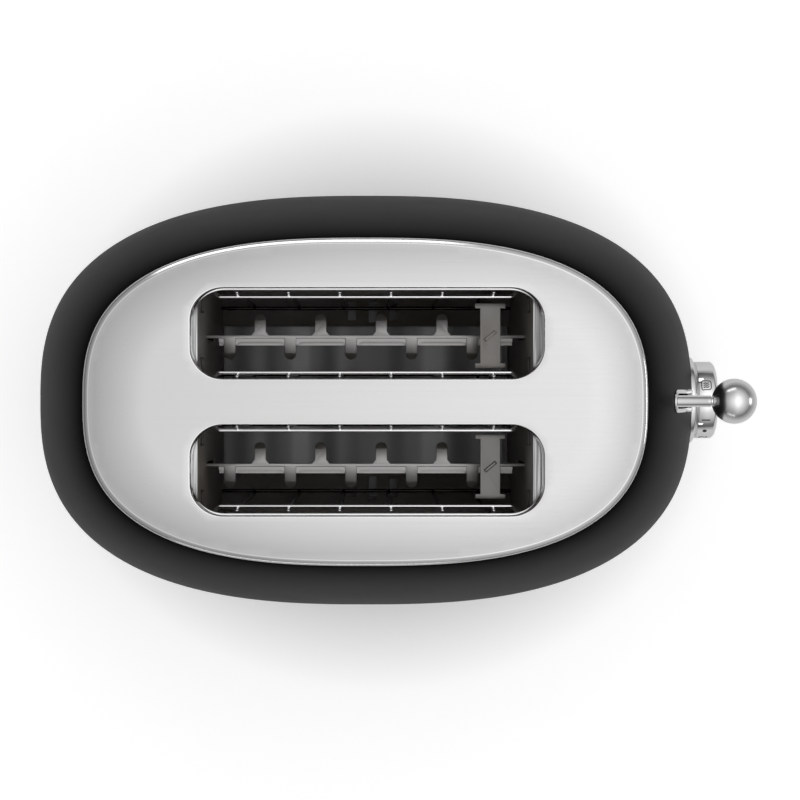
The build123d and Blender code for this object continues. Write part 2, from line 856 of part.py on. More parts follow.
def magnet_shelf():
    half = armature_width / 2
    y0 = magnet_offset_y - half
    y1 = magnet_offset_y + half
    top = magnet_top - magnet_pole_length - magnet_yoke
    shelf = block(chamber_outside, guide_x + magnet_depth / 2, y0, y1, top - magnet_shelf_sheet, top)
    leaf = block(chamber_outside, chamber_outside + magnet_shelf_sheet, y0, y1, top - magnet_shelf_leaf, top)
    return shelf + leaf


# Dial turned from solid, hollow behind its front, with a hole for the cancel button
def browning_dial():
    knob = rod_x(dial_back, dial_front, 0, dial_height, dial_diameter)
    knob = fillet(knob.edges().group_by(Axis.X)[-1], dial_edge_round)
    cup = rod_x(dial_back, dial_front - dial_floor, 0, dial_height, dial_diameter - 2 * dial_floor)
    hub = rod_x(dial_back, dial_front - dial_floor, 0, dial_height, cancel_diameter + 2 * dial_floor)
    knob = knob - (cup - hub)
    knob = knob - rod_x(cap_seat, dial_front, 0, dial_height, cancel_diameter + 4 * running_gap)
    return knob - rod_x(dial_back, cap_seat, 0, dial_height, dial_shaft_diameter + 2 * running_gap)


def dial_shaft():
    start = control_board_face + part_gap
    tube = rod_x(start, cap_seat, 0, dial_height, dial_shaft_diameter)
    return tube - rod_x(start, cap_seat, 0, dial_height, dial_shaft_bore)


def cancel_button():
    cap = rod_x(cap_back, dial_front + cancel_proud, 0, dial_height, cancel_diameter)
    return fillet(cap.edges().group_by(Axis.X)[-1], cancel_proud)


# Rod that carries the button's push through the shaft to the switch
def cancel_stem():
    return rod_x(stem_end, cap_back, 0, dial_height, cancel_stem_diameter)


def cancel_switch():
    end = control_board_face + cancel_switch_diameter
    return rod_x(control_board_face, end, 0, dial_height, cancel_switch_diameter)


def control_pot():
    start = control_board_face
    end = start + control_pot_depth
    body = rod_x(start, end, 0, dial_height, control_pot_diameter)
    return body - rod_x(start, end, 0, dial_height, dial_shaft_diameter + 2 * running_gap)


def control_board():
    half = control_board_width / 2
    back = control_board_face - control_board_sheet
    return block(back, control_board_face, -half, half, base_top, control_board_top)


def board_posts():
    half = control_board_width / 2
    middle = control_board_face - control_board_sheet / 2
    posts = []
    for side in (-1, 1):
        y0 = min(side * half, side * (half + board_post_width))
        y1 = max(side * half, side * (half + board_post_width))
        posts.append(block(middle - board_post_depth / 2, middle + board_post_depth / 2, y0, y1,
                           base_top, base_top + board_post_height))
    return posts


# Capacitor, relay, resistors and chip that stand on the board's inner side
def board_components():
    back = control_board_face - control_board_sheet
    y, height = capacitor_place
    pieces = [rod_x(back - capacitor_length, back, y, base_top + height, capacitor_diameter)]
    for size, place in ((relay_size, relay_place), (chip_size, chip_place)):
        depth, width, tall = size
        y, height = place
        middle = base_top + height
        pieces.append(block(back - depth, back, y - width / 2, y + width / 2,
                            middle - tall / 2, middle + tall / 2))
    y, height = resistor_place
    for index in range(resistors):
        pieces.append(rod_x(back - resistor_diameter, back, y + index * resistor_pitch,
                            base_top + height, resistor_diameter))
    return pieces


# Mains switch that the carriage closes, with its two contact springs
def switch_block():
    size_x, size_y, size_z = switch_block_size
    return block(bracket_front, bracket_front + size_x, switch_block_y - size_y / 2,
                 switch_block_y + size_y / 2, base_top, base_top + size_z)


def contact_springs():
    size_x, size_y, size_z = switch_block_size
    bottom = base_top + size_z
    springs = []
    for side in (-1, 1):
        y = switch_block_y + side * size_y / 4
        springs.append(block(bracket_front + size_x / 2 - contact_width / 2,
                             bracket_front + size_x / 2 + contact_width / 2,
                             y - contact_sheet / 2, y + contact_sheet / 2, bottom, contact_top))
    return springs


def terminal_block():
    size_x, size_y, size_z = terminal_size
    top = base_top + size_z
    whole = block(terminal_x - size_x / 2, terminal_x + size_x / 2,
                  terminal_y - size_y / 2, terminal_y + size_y / 2, base_top, top)
    for index in (-1, 0, 1):
        hole_x = terminal_x + index * size_x / 3
        whole = whole - post(hole_x, terminal_y, terminal_screw, base_top + size_z / 2, top)
    return whole


# Bushing in the base plate for the mains cord
def cord_gland():
    bottom = foot_height + skirt_ledge_height
    flange_sheet = 2 * base_sheet
    barrel = post(gland_x, gland_y, gland_diameter, bottom - flange_sheet, base_top + flange_sheet)
    lower = post(gland_x, gland_y, gland_flange, bottom - flange_sheet, bottom)
    upper = post(gland_x, gland_y, gland_flange, base_top, base_top + flange_sheet)
    return barrel + lower + upper - post(gland_x, gland_y, gland_bore, 0, crown_height)


def crumb_tray():
    half = tray_width / 2
    x0 = tray_front_wall
    x1 = chamber_end - tray_inner_gap
    top = tray_bottom + tray_wall_height
    pan = block(x0, x1, -half, half, tray_bottom, top)
    room = block(x0 + tray_sheet, x1 - tray_sheet, -half + tray_sheet, half - tray_sheet,
                 tray_bottom + tray_sheet, top)
    return pan - room


# Curved front of the tray with its finger lip and the ears that join it to the pan
def tray_pull():
    half = tray_width / 2 + tray_sheet
    top = tray_bottom + pull_height
    lip_top = tray_bottom + pull_lip_height
    front = block(-case_length, tray_front_wall, -half, half, 0, crown_height)
    lip_half = pull_lip_width / 2
    lip_front = block(-case_length, tray_front_wall, -lip_half, lip_half, 0, crown_height)
    panel = skirt_block(0, tray_bottom, top) & front
    lip = skirt_block(-pull_lip, tray_bottom, lip_top) & lip_front
    pull = (panel + lip) - skirt_block(pull_wall, 0, crown_height)
    ear_front = -skirt_length / 2 + 2 * pull_wall
    for side in (-1, 1):
        y = side * pull_ear_offset
        pull = pull + block(ear_front, tray_front_wall, y - pull_ear_width / 2, y + pull_ear_width / 2,
                            tray_bottom, top - part_gap)
    return pull


os.makedirs("parts", exist_ok=True)

case = case_solid(0)
save("body_shell", body_shell(case))
save("lever_trim", lever_trim())
save("dial_bezel", dial_bezel())
save("top_plate", top_plate())
save("base_skirt", base_skirt())
save("base_plate", base_plate())
save("rubber_feet", rubber_feet())
save("base_screws", base_screws())
save("chassis_screws", chassis_screws())
save("front_end_plate", end_plate(1))
save("rear_end_plate", end_plate(-1))

guard = bread_guard()
guard_facing = {1: guard, -1: mirror(guard, Plane.XZ)}
rack = bread_rack()
spreader = guard_spreader()
for side, side_name in ((1, "left"), (-1, "right")):
    centre = side * slot_pitch / 2
    save("outer_reflector_" + side_name, outer_reflector(side))
    for row_name, offset, facing in (("outer", outer_board_offset, -side), ("inner", inner_board_offset, side)):
        save("heater_board_" + row_name + "_" + side_name, heater_board(side * offset, facing))
        save("heater_ribbon_" + row_name + "_" + side_name, heater_ribbon(side * offset, facing))
        guard_y = centre - facing * guard_offset
        save("bread_guard_" + row_name + "_" + side_name, Pos(0, guard_y, 0) * guard_facing[-facing])
    save("bread_rack_" + side_name, Pos(0, centre, 0) * rack)
    save("guard_spreader_" + side_name, Pos(0, centre, 0) * spreader)

save("carriage_bracket", carriage_bracket())
save("slide_bush", slide_bush())
save("lever_rod", lever_rod())
save("lever_knob", lever_knob())
save("armature_plate", armature_plate())
save("lift_spring", lift_spring())
save("guide_rod", guide_rod())
save("rod_mount", rod_mount())
save("rod_foot", rod_foot())
save("magnet_core", magnet_core())
save("magnet_coil", magnet_coil())
save("magnet_shelf", magnet_shelf())
save("browning_dial", browning_dial())
save("dial_shaft", dial_shaft())
save("cancel_button", cancel_button())
save("cancel_stem", cancel_stem())
save("cancel_switch", cancel_switch())
save("control_pot", control_pot())
save("control_board", control_board())
save("board_posts", board_posts())
save("board_components", board_components())
save("switch_block", switch_block())
save("contact_springs", contact_springs())
save("terminal_block", terminal_block())
save("cord_gland", cord_gland())
save("crumb_tray", crumb_tray())
save("tray_pull", tray_pull())
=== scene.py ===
import json
from math import cos, sin, pi, radians, atan2, sqrt

import bmesh
import bpy
import numpy as np
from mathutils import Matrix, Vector
from mathutils.geometry import delaunay_2d_cdt


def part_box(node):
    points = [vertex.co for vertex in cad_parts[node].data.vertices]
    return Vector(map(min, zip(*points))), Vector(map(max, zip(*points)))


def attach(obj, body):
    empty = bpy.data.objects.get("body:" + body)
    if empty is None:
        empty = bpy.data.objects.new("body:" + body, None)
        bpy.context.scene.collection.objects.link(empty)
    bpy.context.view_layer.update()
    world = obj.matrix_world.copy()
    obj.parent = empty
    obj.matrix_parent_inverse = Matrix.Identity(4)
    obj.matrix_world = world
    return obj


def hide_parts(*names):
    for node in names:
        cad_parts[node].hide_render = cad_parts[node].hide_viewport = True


# Two-slice toaster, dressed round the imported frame. Metres, +X towards the lever end.
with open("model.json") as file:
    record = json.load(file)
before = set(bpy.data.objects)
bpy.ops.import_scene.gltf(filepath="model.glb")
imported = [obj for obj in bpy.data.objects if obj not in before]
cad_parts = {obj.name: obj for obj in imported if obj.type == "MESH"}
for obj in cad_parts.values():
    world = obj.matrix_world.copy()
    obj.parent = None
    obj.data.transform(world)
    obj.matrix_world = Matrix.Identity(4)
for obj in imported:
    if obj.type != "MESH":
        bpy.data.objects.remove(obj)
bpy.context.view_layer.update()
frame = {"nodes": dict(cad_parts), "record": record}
cadNodes = frame["nodes"]
scene = bpy.context.scene

# The case's own middle lies midway between the chamber's ends; the origin counts the ball too
middleX = (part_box("rear_end_plate")[1].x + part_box("front_end_plate")[0].x) / 2
print("frame loaded,", len(cadNodes), "nodes")


# Node trees: one socket that can be used in an expression
class Signal:
    def __init__(self, tree, node, output=0):
        self.tree = tree
        self.node = node
        self.socket = node.outputs[output]

    def out(self, output):
        return Signal(self.tree, self.node, output)

    def math(self, operation, *others):
        return self.tree.math(operation, self, *others)

    def __add__(self, other):
        return self.math("ADD", other)

    def __sub__(self, other):
        return self.math("SUBTRACT", other)

    def __rsub__(self, other):
        return self.tree.math("SUBTRACT", other, self)

    def __mul__(self, other):
        return self.math("MULTIPLY", other)

    def __truediv__(self, other):
        return self.math("DIVIDE", other)

    def __rtruediv__(self, other):
        return self.tree.math("DIVIDE", other, self)

    def __pow__(self, other):
        return self.math("POWER", other)

    def __abs__(self):
        return self.math("ABSOLUTE")

# A node tree that is built by naming nodes, their settings and their inputs
class Tree:
    def __init__(self, tree):
        self.tree = tree

    def add(self, kind, settings=None, inputs=None, output=0):
        node = self.tree.nodes.new(kind)
        for name, value in (settings or {}).items():
            if name == "stops":
                self.setStops(node.color_ramp, value)
            else:
                setattr(node, name, value)
        for name, value in (inputs or {}).items():
            if isinstance(value, Signal):
                self.link(value, node, name)
            else:
                node.inputs[name].default_value = value
        return Signal(self, node, output)

    def setStops(self, ramp, stops):
        while len(ramp.elements) < len(stops):
            ramp.elements.new(0.5)
        for element, (place, colour) in zip(ramp.elements, stops):
            element.position = place
            element.color = colour

    def link(self, signal, node, name):
        self.tree.links.new(signal.socket, node.inputs[name])

    def math(self, operation, *values):
        return self.add("ShaderNodeMath", {"operation": operation}, dict(enumerate(values)))

    # Fractal noise on Object coordinates, which stretch scales
    def noise(self, scale, detail=3.0, rough=0.5, stretch=(1, 1, 1)):
        place = self.add("ShaderNodeTexCoord", output="Object")
        place = self.add("ShaderNodeMapping", {}, {"Vector": place, "Scale": stretch})
        return self.add("ShaderNodeTexNoise", {}, {
            "Vector": place, "Scale": scale, "Detail": detail, "Roughness": rough})

    # Number inputs of a Geometry Nodes tree, as signals by name
    def inputs(self, sizes):
        for name, value in sizes.items():
            socket = self.tree.interface.new_socket(name, in_out="INPUT", socket_type="NodeSocketFloat")
            socket.default_value = value
        given = self.add("NodeGroupInput")
        return {name: given.out(name) for name in sizes}

    # The carrier mesh that a Geometry Nodes tree is given
    def carrier(self):
        self.tree.interface.new_socket("Geometry", in_out="INPUT", socket_type="NodeSocketGeometry")
        return self.add("NodeGroupInput")

    # Paints the geometry, makes it real and hands it on as the tree's result
    def finish(self, geometry, material):
        self.tree.interface.new_socket("Geometry", in_out="OUTPUT", socket_type="NodeSocketGeometry")
        real = self.add("GeometryNodeRealizeInstances", {}, {"Geometry": geometry})
        painted = self.add("GeometryNodeSetMaterial", {}, {"Geometry": real, "Material": material})
        self.link(painted, self.tree.nodes.new("NodeGroupOutput"), 0)
        return self.tree

    # Parts of the place that is shaded; the third is its height over the table
    def places(self):
        place = self.add("ShaderNodeTexCoord", output="Object")
        return self.add("ShaderNodeSeparateXYZ", {}, {0: place})

    # A value spread between two limits
    def spread(self, signal, low, high, fromLow=0.0, fromHigh=1.0):
        return self.add("ShaderNodeMapRange", {"clamp": True}, {
            "Value": signal, "From Min": fromLow, "From Max": fromHigh, "To Min": low, "To Max": high})

    def mixColour(self, share, first, second):
        return self.add("ShaderNodeMix", {"data_type": "RGBA"}, {0: share, 6: first, 7: second}, output=2)

    # A grey that a pattern darkens and lightens
    def mottled(self, share, level, darker, lighter, warmth=0.0):
        return self.mixColour(share, grey(level * darker, warmth), grey(level * lighter, warmth))

    def bump(self, height, strength, distance):
        return self.add("ShaderNodeBump", {}, {"Height": height, "Strength": strength, "Distance": distance})


def grey(level, warmth=0.0):
    return (level * (1 + warmth), level, level * (1 - warmth), 1.0)


# A material whose surface is described by a function of its tree and shader
def makeMaterial(name, describe):
    material = bpy.data.materials.new(name)
    material.use_nodes = True
    describe(Tree(material.node_tree), material.node_tree.nodes["Principled BSDF"])
    return material


def setShader(tree, shader, **values):
    names = {"colour": "Base Color", "rough": "Roughness", "metal": "Metallic", "normal": "Normal",
             "specular": "Specular IOR Level"}
    for name, value in values.items():
        if isinstance(value, Signal):
            tree.link(value, shader, names[name])
        else:
            shader.inputs[names[name]].default_value = value


enamel = {"level": 0.0055, "rough": 0.38, "peel": 0.02, "shine": 0.022, "dust": 0.08, "dustLevel": 0.12}


def describeEnamel(tree, shader):
    cloud = tree.noise(22, 4)
    grain = tree.noise(2600, 2)
    dust = tree.spread(tree.noise(900, 2, 0.7), 0.0, 1.0, 0.68, 0.8)
    colour = tree.mottled(cloud, enamel["level"], 0.9, 1.15)
    colour = tree.mixColour(dust * enamel["dust"], colour, grey(enamel["dustLevel"]))
    rough = tree.spread(cloud, enamel["rough"] - 0.03, enamel["rough"] + 0.04) + grain * 0.03
    setShader(tree, shader, colour=colour, rough=rough, specular=enamel["shine"],
              normal=tree.bump(grain, enamel["peel"], 0.0004))


plateFinish = {"level": 0.58, "rough": 0.25, "lineScale": 900}


def describePlate(tree, shader):
    lines = tree.noise(plateFinish["lineScale"], 3, 0.6, stretch=(0.012, 1, 1))
    level = plateFinish["level"]
    colour = tree.mixColour(tree.noise(14, 3), grey(level * 0.97, 0.004), grey(level * 1.03))
    rough = tree.spread(lines, plateFinish["rough"] - 0.03, plateFinish["rough"] + 0.05)
    setShader(tree, shader, colour=colour, rough=rough, metal=1.0, normal=tree.bump(lines, 0.03, 0.0002))


# The plate's rolled edge and the slots' rims are buffed bright
def describeBuffed(tree, shader):
    smear = tree.noise(80, 4, 0.6)
    setShader(tree, shader, colour=tree.mixColour(smear, grey(0.80), grey(0.86)),
              rough=tree.spread(smear, 0.12, 0.2), metal=1.0)


chrome = {"level": 0.82, "rough": 0.05}


def describeChrome(tree, shader):
    smear = tree.noise(60, 4, 0.6)
    pits = tree.spread(tree.noise(1800, 2), 0.0, 1.0, 0.66, 0.75)
    rough = tree.spread(smear, chrome["rough"] - 0.02, chrome["rough"] + 0.03) + pits * 0.08
    setShader(tree, shader, colour=tree.mottled(smear, chrome["level"], 0.97, 1.02), rough=rough, metal=1.0)


# Sheet metals and the ball's satin chrome: level, roughness, warmth, share of heat tint
sheets = {
    "galvanisedSheet": (0.26, 0.42, 0.0, 0.0),
    "spreaderSteel": (0.27, 0.42, 0.01, 0.4),
    "rackSteel": (0.40, 0.36, 0.01, 0.25),
    "hookSteel": (0.10, 0.45, 0.02, 0.4),
    "satinChrome": (0.80, 0.20, 0.0, 0.0),
    "magnetIron": (0.25, 0.45, 0.0, 0.0),
    "springWire": (0.40, 0.30, 0.0, 0.0),
    "guideSteel": (0.55, 0.18, 0.0, 0.0),
    "zincScrews": (0.50, 0.35, 0.02, 0.0),
    "nichrome": (0.16, 0.50, 0.05, 0.4),
    "contactBrass": (0.55, 0.28, 0.25, 0.0),
}


def describeSheet(level, roughness, warmth, tint):
    def describe(tree, shader):
        cloud = tree.noise(45, 4, 0.6)
        fine = tree.noise(1400, 2, 0.5, stretch=(1, 0.1, 1))
        heat = tree.spread(tree.noise(18, 3), 0.0, tint, 0.45, 0.7)
        colour = tree.mottled(cloud, level, 0.85, 1.12, warmth)
        colour = tree.mixColour(heat, colour, (level * 0.62, level * 0.46, level * 0.30, 1.0))
        rough = tree.spread(cloud, roughness - 0.05, roughness + 0.08) + fine * 0.05
        setShader(tree, shader, colour=colour, rough=rough, metal=1.0, normal=tree.bump(fine, 0.08, 0.0002))
    return describe


# Chamber sheet: dull from heat below and bright on the hems under the slots' ends. The hems' streaks are
# brushed grain in the bump and painted reflections in the colour
chamberFinish = {"dull": 0.30, "bright": 0.62, "hem": 0.1845, "hemBlend": 0.001, "streaks": 700}


def describeChamber(tree, shader):
    finish = chamberFinish
    hem = tree.spread(tree.places().out(2), 0.0, 1.0, finish["hem"] - finish["hemBlend"], finish["hem"])
    streaks = tree.noise(finish["streaks"], 2, 0.6, stretch=(1, 0.02, 1))
    cloud = tree.noise(45, 4, 0.6)
    heat = tree.spread(tree.noise(18, 3), 0.0, 0.6, 0.45, 0.7)
    dull = finish["dull"]
    tint = (dull * 0.7, dull * 0.55, dull * 0.4, 1.0)
    low = tree.mixColour(heat, tree.mottled(cloud, dull, 0.8, 1.2, 0.03), tint)
    # The hem's colour carries painted reflection streaks
    high = tree.mottled(tree.spread(streaks, 0.0, 1.0, 0.4, 0.6), finish["bright"], 0.35, 1.2)
    setShader(tree, shader, colour=tree.mixColour(hem, low, high), metal=hem,
              rough=tree.spread(cloud, 0.48, 0.6) - hem * 0.24, normal=tree.bump(streaks, 0.08, 0.0002))


# Tray sheet: pressed bright steel with painted reflection bands across its colour and roughness, and a few
# crumbs
trayFinish = {"level": 0.165, "bands": 60, "crumbs": 0.3, "crumbColour": (0.08, 0.05, 0.03, 1.0)}


def describeTray(tree, shader):
    bands = tree.noise(trayFinish["bands"], 1, 0.3, stretch=(1, 0.02, 0.02))
    bands = tree.spread(bands, 0.0, 1.0, 0.38, 0.62)
    crumbs = tree.spread(tree.noise(1500, 2, 0.6), 0.0, 1.0, 0.66, 0.72)
    # The bands lighten and darken the colour as painted reflections
    colour = tree.mottled(bands, trayFinish["level"], 0.72, 1.15)
    colour = tree.mixColour(crumbs * trayFinish["crumbs"], colour, trayFinish["crumbColour"])
    setShader(tree, shader, colour=colour, rough=tree.spread(bands, 0.42, 0.30), metal=1.0)


# Guard wire: bright nickel at its top. Further down it is painted dark as the shade inside the slot, with a
# slight brown heat tint
wireFinishWithPaintedShade = {"bright": 0.96, "dark": 0.05, "from": 0.150, "to": 0.170}


def describeWire(tree, shader):
    # Below the top the colour falls to near black: painted shade in the slot, not the wire's own colour
    share = tree.spread(tree.places().out(2), 0.0, 1.0, wireFinishWithPaintedShade["from"], wireFinishWithPaintedShade["to"])
    cloud = tree.noise(90, 3)
    low = tree.mottled(cloud, wireFinishWithPaintedShade["dark"], 0.7, 1.3, 0.1)
    setShader(tree, shader, colour=tree.mixColour(share, low, grey(wireFinishWithPaintedShade["bright"])), metal=1.0,
              rough=tree.spread(cloud, 0.08, 0.15))


# Plastics, rubber, mica and ceramic: colour, roughness, grain scale
solids = {
    "darkPlastic": ((0.018, 0.018, 0.020), 0.48, 1800),
    "footRubber": ((0.022, 0.022, 0.022), 0.75, 1200),
    "boardGreen": ((0.012, 0.085, 0.035), 0.30, 700),
    "paleCeramic": ((0.62, 0.60, 0.54), 0.45, 900),
    "micaCard": ((0.42, 0.39, 0.34), 0.17, 260),
    "coilCopper": ((0.42, 0.16, 0.06), 0.35, 900),
    "dialInk": ((0.012, 0.010, 0.012), 0.40, 2400),
}


def describeSolid(colour, roughness, grainScale):
    def describe(tree, shader):
        grain = tree.noise(grainScale, 3)
        dark, light = (tuple(part * share for part in colour) + (1.0,) for share in (0.82, 1.15))
        setShader(tree, shader, colour=tree.mixColour(tree.noise(40, 3), dark, light),
                  rough=tree.spread(grain, roughness - 0.06, roughness + 0.08),
                  normal=tree.bump(grain, 0.15, 0.0003))
    return describe


finishes = {
    "blackEnamel": describeEnamel, "plateSteel": describePlate, "chrome": describeChrome,
    "buffedEdge": describeBuffed, "chamberSteel": describeChamber, "traySteel": describeTray,
    "guardWire": describeWire,
}
finishes.update({name: describeSheet(*values) for name, values in sheets.items()})
finishes.update({name: describeSolid(*values) for name, values in solids.items()})
materials = {name: makeMaterial(name, describe) for name, describe in finishes.items()}
slotChromes = {"chrome_trim": "chrome", "chrome_dial": "chrome", "chrome_ball": "satinChrome"}


# The material in which one of the record's slots is shown: its own name in camelCase, or a chrome
def slotMaterial(slot):
    first, *rest = slot.split("_")
    return materials[slotChromes.get(slot, first + "".join(word.capitalize() for word in rest))]


for part in frame["record"]["subparts"]:
    node = cadNodes[part["node"]]
    node.data.materials.clear()
    node.data.materials.append(slotMaterial(part["material_slot"]))
print("materials made,", len(materials))


# A finished mesh that rides on a body, stands for a node and takes its slot's finish
def finishPiece(piece, body, slot, replaced=(), smooth=None):
    if smooth:
        smoothByAngle(piece, smooth)
    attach(piece, body)
    if replaced:
        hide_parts(*replaced)
    if not piece.data.materials:
        piece.data.materials.append(slotMaterial(slot))
    return piece


# Changes a mesh with a function of its bmesh
def rework(mesh, change):
    work = bmesh.new()
    work.from_mesh(mesh)
    change(work)
    work.to_mesh(mesh)
    work.free()


def placeObject(name, mesh):
    piece = bpy.data.objects.new(name, mesh)
    scene.collection.objects.link(piece)
    return piece


mergeDistance = 1e-6  # points closer than this are one


def makeObject(name, points, faces, smooth=True):
    mesh = bpy.data.meshes.new(name)
    mesh.from_pydata(points, [], faces)
    mesh.validate()
    piece = weld(placeObject(name, mesh), mergeDistance)
    mesh.polygons.foreach_set("use_smooth", [smooth] * len(mesh.polygons))
    return piece


# Merges points that lie closer than the distance and turns all faces outwards
def weld(piece, distance):
    def change(work):
        bmesh.ops.remove_doubles(work, verts=work.verts, dist=distance)
        bmesh.ops.recalc_face_normals(work, faces=work.faces)
    rework(piece.data, change)
    return piece


# Smooth shading that keeps edges sharper than the angle
def smoothByAngle(piece, degrees):
    piece.data.polygons.foreach_set("use_smooth", [True] * len(piece.data.polygons))

    def change(work):
        for edge in work.edges:
            edge.smooth = len(edge.link_faces) == 2 and edge.calc_face_angle(0.0) <= radians(degrees)
    rework(piece.data, change)


def applyModifiers(piece):
    graph = bpy.context.evaluated_depsgraph_get()
    old = piece.data
    mesh = bpy.data.meshes.new_from_object(piece.evaluated_get(graph))
    piece.modifiers.clear()
    piece.data = mesh
    bpy.data.meshes.remove(old)
    return piece


def joinPieces(first, others):
    def change(work):
        for other in others:
            work.from_mesh(other.data)
            bpy.data.objects.remove(other)
    rework(first.data, change)
    return first


def cutWith(piece, cutters):
    for cutter in cutters:
        modifier = piece.modifiers.new("cut", "BOOLEAN")
        modifier.operation = "DIFFERENCE"
        modifier.solver = "EXACT"
        modifier.object = cutter
    applyModifiers(piece)
    for cutter in cutters:
        bpy.data.objects.remove(cutter)


# Strips between closed rings of points, each ring as long as the next
def ringFaces(rings, closed=False, capped=False):
    count = len(rings[0])
    faces = []
    for ring in range(len(rings) if closed else len(rings) - 1):
        a = ring * count
        b = (ring + 1) % len(rings) * count
        for index in range(count):
            after = (index + 1) % count
            faces.append((a + index, a + after, b + after, b + index))
    if capped:
        last = count * (len(rings) - 1)
        faces += [tuple(range(count)), tuple(range(last, last + count))]
    return faces


def ringObject(name, rings, closed=False, capped=False, smooth=True):
    points = [point for ring in rings for point in ring]
    return makeObject(name, points, ringFaces(rings, closed, capped), smooth)


ovalSteps = 288


# Points of an oval, evenly numbered round a superellipse that may lie inside its outline
def ovalPoints(length, width, exponent, inset=0.0):
    points = []
    for index in range(ovalSteps):
        angle = 2 * pi * index / ovalSteps
        along = abs(cos(angle)) ** (2 / exponent)
        across = abs(sin(angle)) ** (2 / exponent)
        x = (length / 2 - inset) * (along if cos(angle) > 0 else -along)
        y = (width / 2 - inset) * (across if sin(angle) > 0 else -across)
        points.append((middleX + x, y))
    return points


caseShape = {
    "length": 0.310, "width": 0.195, "widest": 0.064, "bottom": 0.019, "top": 0.193, "exponent": 2.6,
    "shoulder": 1.35, "tuck": 0.005, "mouthLength": 0.2372, "mouthWidth": 0.1376, "mouthExponent": 2.7,
    "sheet": 0.0012, "flange": 0.007, "seam": 2e-5, "up": 84,
    "tuckShare": 0.18,  # share of the rows that lies below the widest level
}


# Case: an oval whose size and exponent follow the shoulder's rule, made by Geometry Nodes
def caseTree():
    tree = Tree(bpy.data.node_groups.new("ovalCase", "GeometryNodeTree"))
    names = ("length", "width", "widest", "bottom", "top", "exponent", "shoulder", "tuck",
             "mouthLength", "mouthWidth", "mouthExponent")
    size = tree.inputs({name: caseShape[name] for name in names})
    grid = tree.add("GeometryNodeMeshGrid", {}, {
        "Size X": 1.0, "Size Y": 1.0, "Vertices X": ovalSteps + 1, "Vertices Y": caseShape["up"]})
    apart = tree.add("ShaderNodeSeparateXYZ", {}, {0: tree.add("GeometryNodeInputPosition")})
    angle = (apart.out(0) + 0.5) * (2 * pi)
    height = apart.out(1) + 0.5
    below = tree.spread(height, 1.0, 0.0, 0.0, caseShape["tuckShare"])
    turn = tree.spread(height, 0.0, pi / 2, caseShape["tuckShare"], 1.0)
    out = abs(turn.math("COSINE")).math("MAXIMUM", 1e-6) ** (2 / size["shoulder"])
    rise = abs(turn.math("SINE")).math("MAXIMUM", 1e-9) ** (2 / size["shoulder"])
    inset = size["tuck"] * below * below
    halfLength = (size["mouthLength"] + (size["length"] - size["mouthLength"]) * out) / 2 - inset
    halfWidth = (size["mouthWidth"] + (size["width"] - size["mouthWidth"]) * out) / 2 - inset
    level = size["widest"] + (size["top"] - size["widest"]) * rise - below * (size["widest"] - size["bottom"])
    power = 2 / (size["exponent"] + (size["mouthExponent"] - size["exponent"]) * rise)
    cosine = angle.math("COSINE")
    sine = angle.math("SINE")
    x = halfLength * cosine.math("SIGN") * (abs(cosine).math("MAXIMUM", 1e-9) ** power) + middleX
    y = halfWidth * sine.math("SIGN") * (abs(sine).math("MAXIMUM", 1e-9) ** power)
    point = tree.add("ShaderNodeCombineXYZ", {}, {0: x, 1: y, 2: level})
    moved = tree.add("GeometryNodeSetPosition", {}, {"Geometry": grid, "Position": point})
    sewn = tree.add("GeometryNodeMergeByDistance", {}, {"Geometry": moved, "Distance": mergeDistance})
    return tree.finish(sewn, materials["blackEnamel"])


# A plain mesh made by a tree on a carrier of points and edges
def fromTree(name, group, values=None, points=(), edges=()):
    carrier = bpy.data.meshes.new(name)
    carrier.from_pydata(points, edges, [])
    piece = placeObject(name, carrier)
    modifier = piece.modifiers.new("shape", "NODES")
    modifier.node_group = group
    for item in group.interface.items_tree:
        if item.in_out == "INPUT" and values and item.name in values:
            modifier[item.identifier] = values[item.name]
    return applyModifiers(piece)


leverSlot = {"width": 0.0065, "bottom": 0.10085, "top": 0.15915, "steps": 24, "from": 0.1085, "to": 0.1705}


# Upright slot-shaped bar along X that cuts the lever's slot
def slotBar():
    radius = leverSlot["width"] / 2
    steps = leverSlot["steps"]
    outline = []
    for middle, start in ((leverSlot["top"] - radius, 0.0), (leverSlot["bottom"] + radius, pi)):
        for index in range(steps + 1):
            angle = start + pi * index / steps
            outline.append((radius * cos(angle), middle + radius * sin(angle)))
    rings = [[(middleX + leverSlot[end], y, z) for y, z in outline] for end in ("from", "to")]
    return ringObject("slotCutter", rings, capped=True, smooth=False)


def makeCase():
    shape = caseShape
    case = fromTree("bodyShell", caseTree())
    mouth = (shape["mouthLength"], shape["mouthWidth"], shape["mouthExponent"])
    rings = [[(x, y, shape["top"]) for x, y in ovalPoints(*mouth, inset)] for inset in (0.0, shape["flange"])]
    joinPieces(case, [ringObject("mouthFlange", rings)])
    weld(case, shape["seam"])
    wall = case.modifiers.new("sheet", "SOLIDIFY")
    wall.thickness = shape["sheet"]
    wall.offset = -1
    applyModifiers(case)
    cutWith(case, [slotBar()])
    finishPiece(case, "chassis", "black_enamel", ["body_shell"], smooth=40)


makeCase()
print("case made")

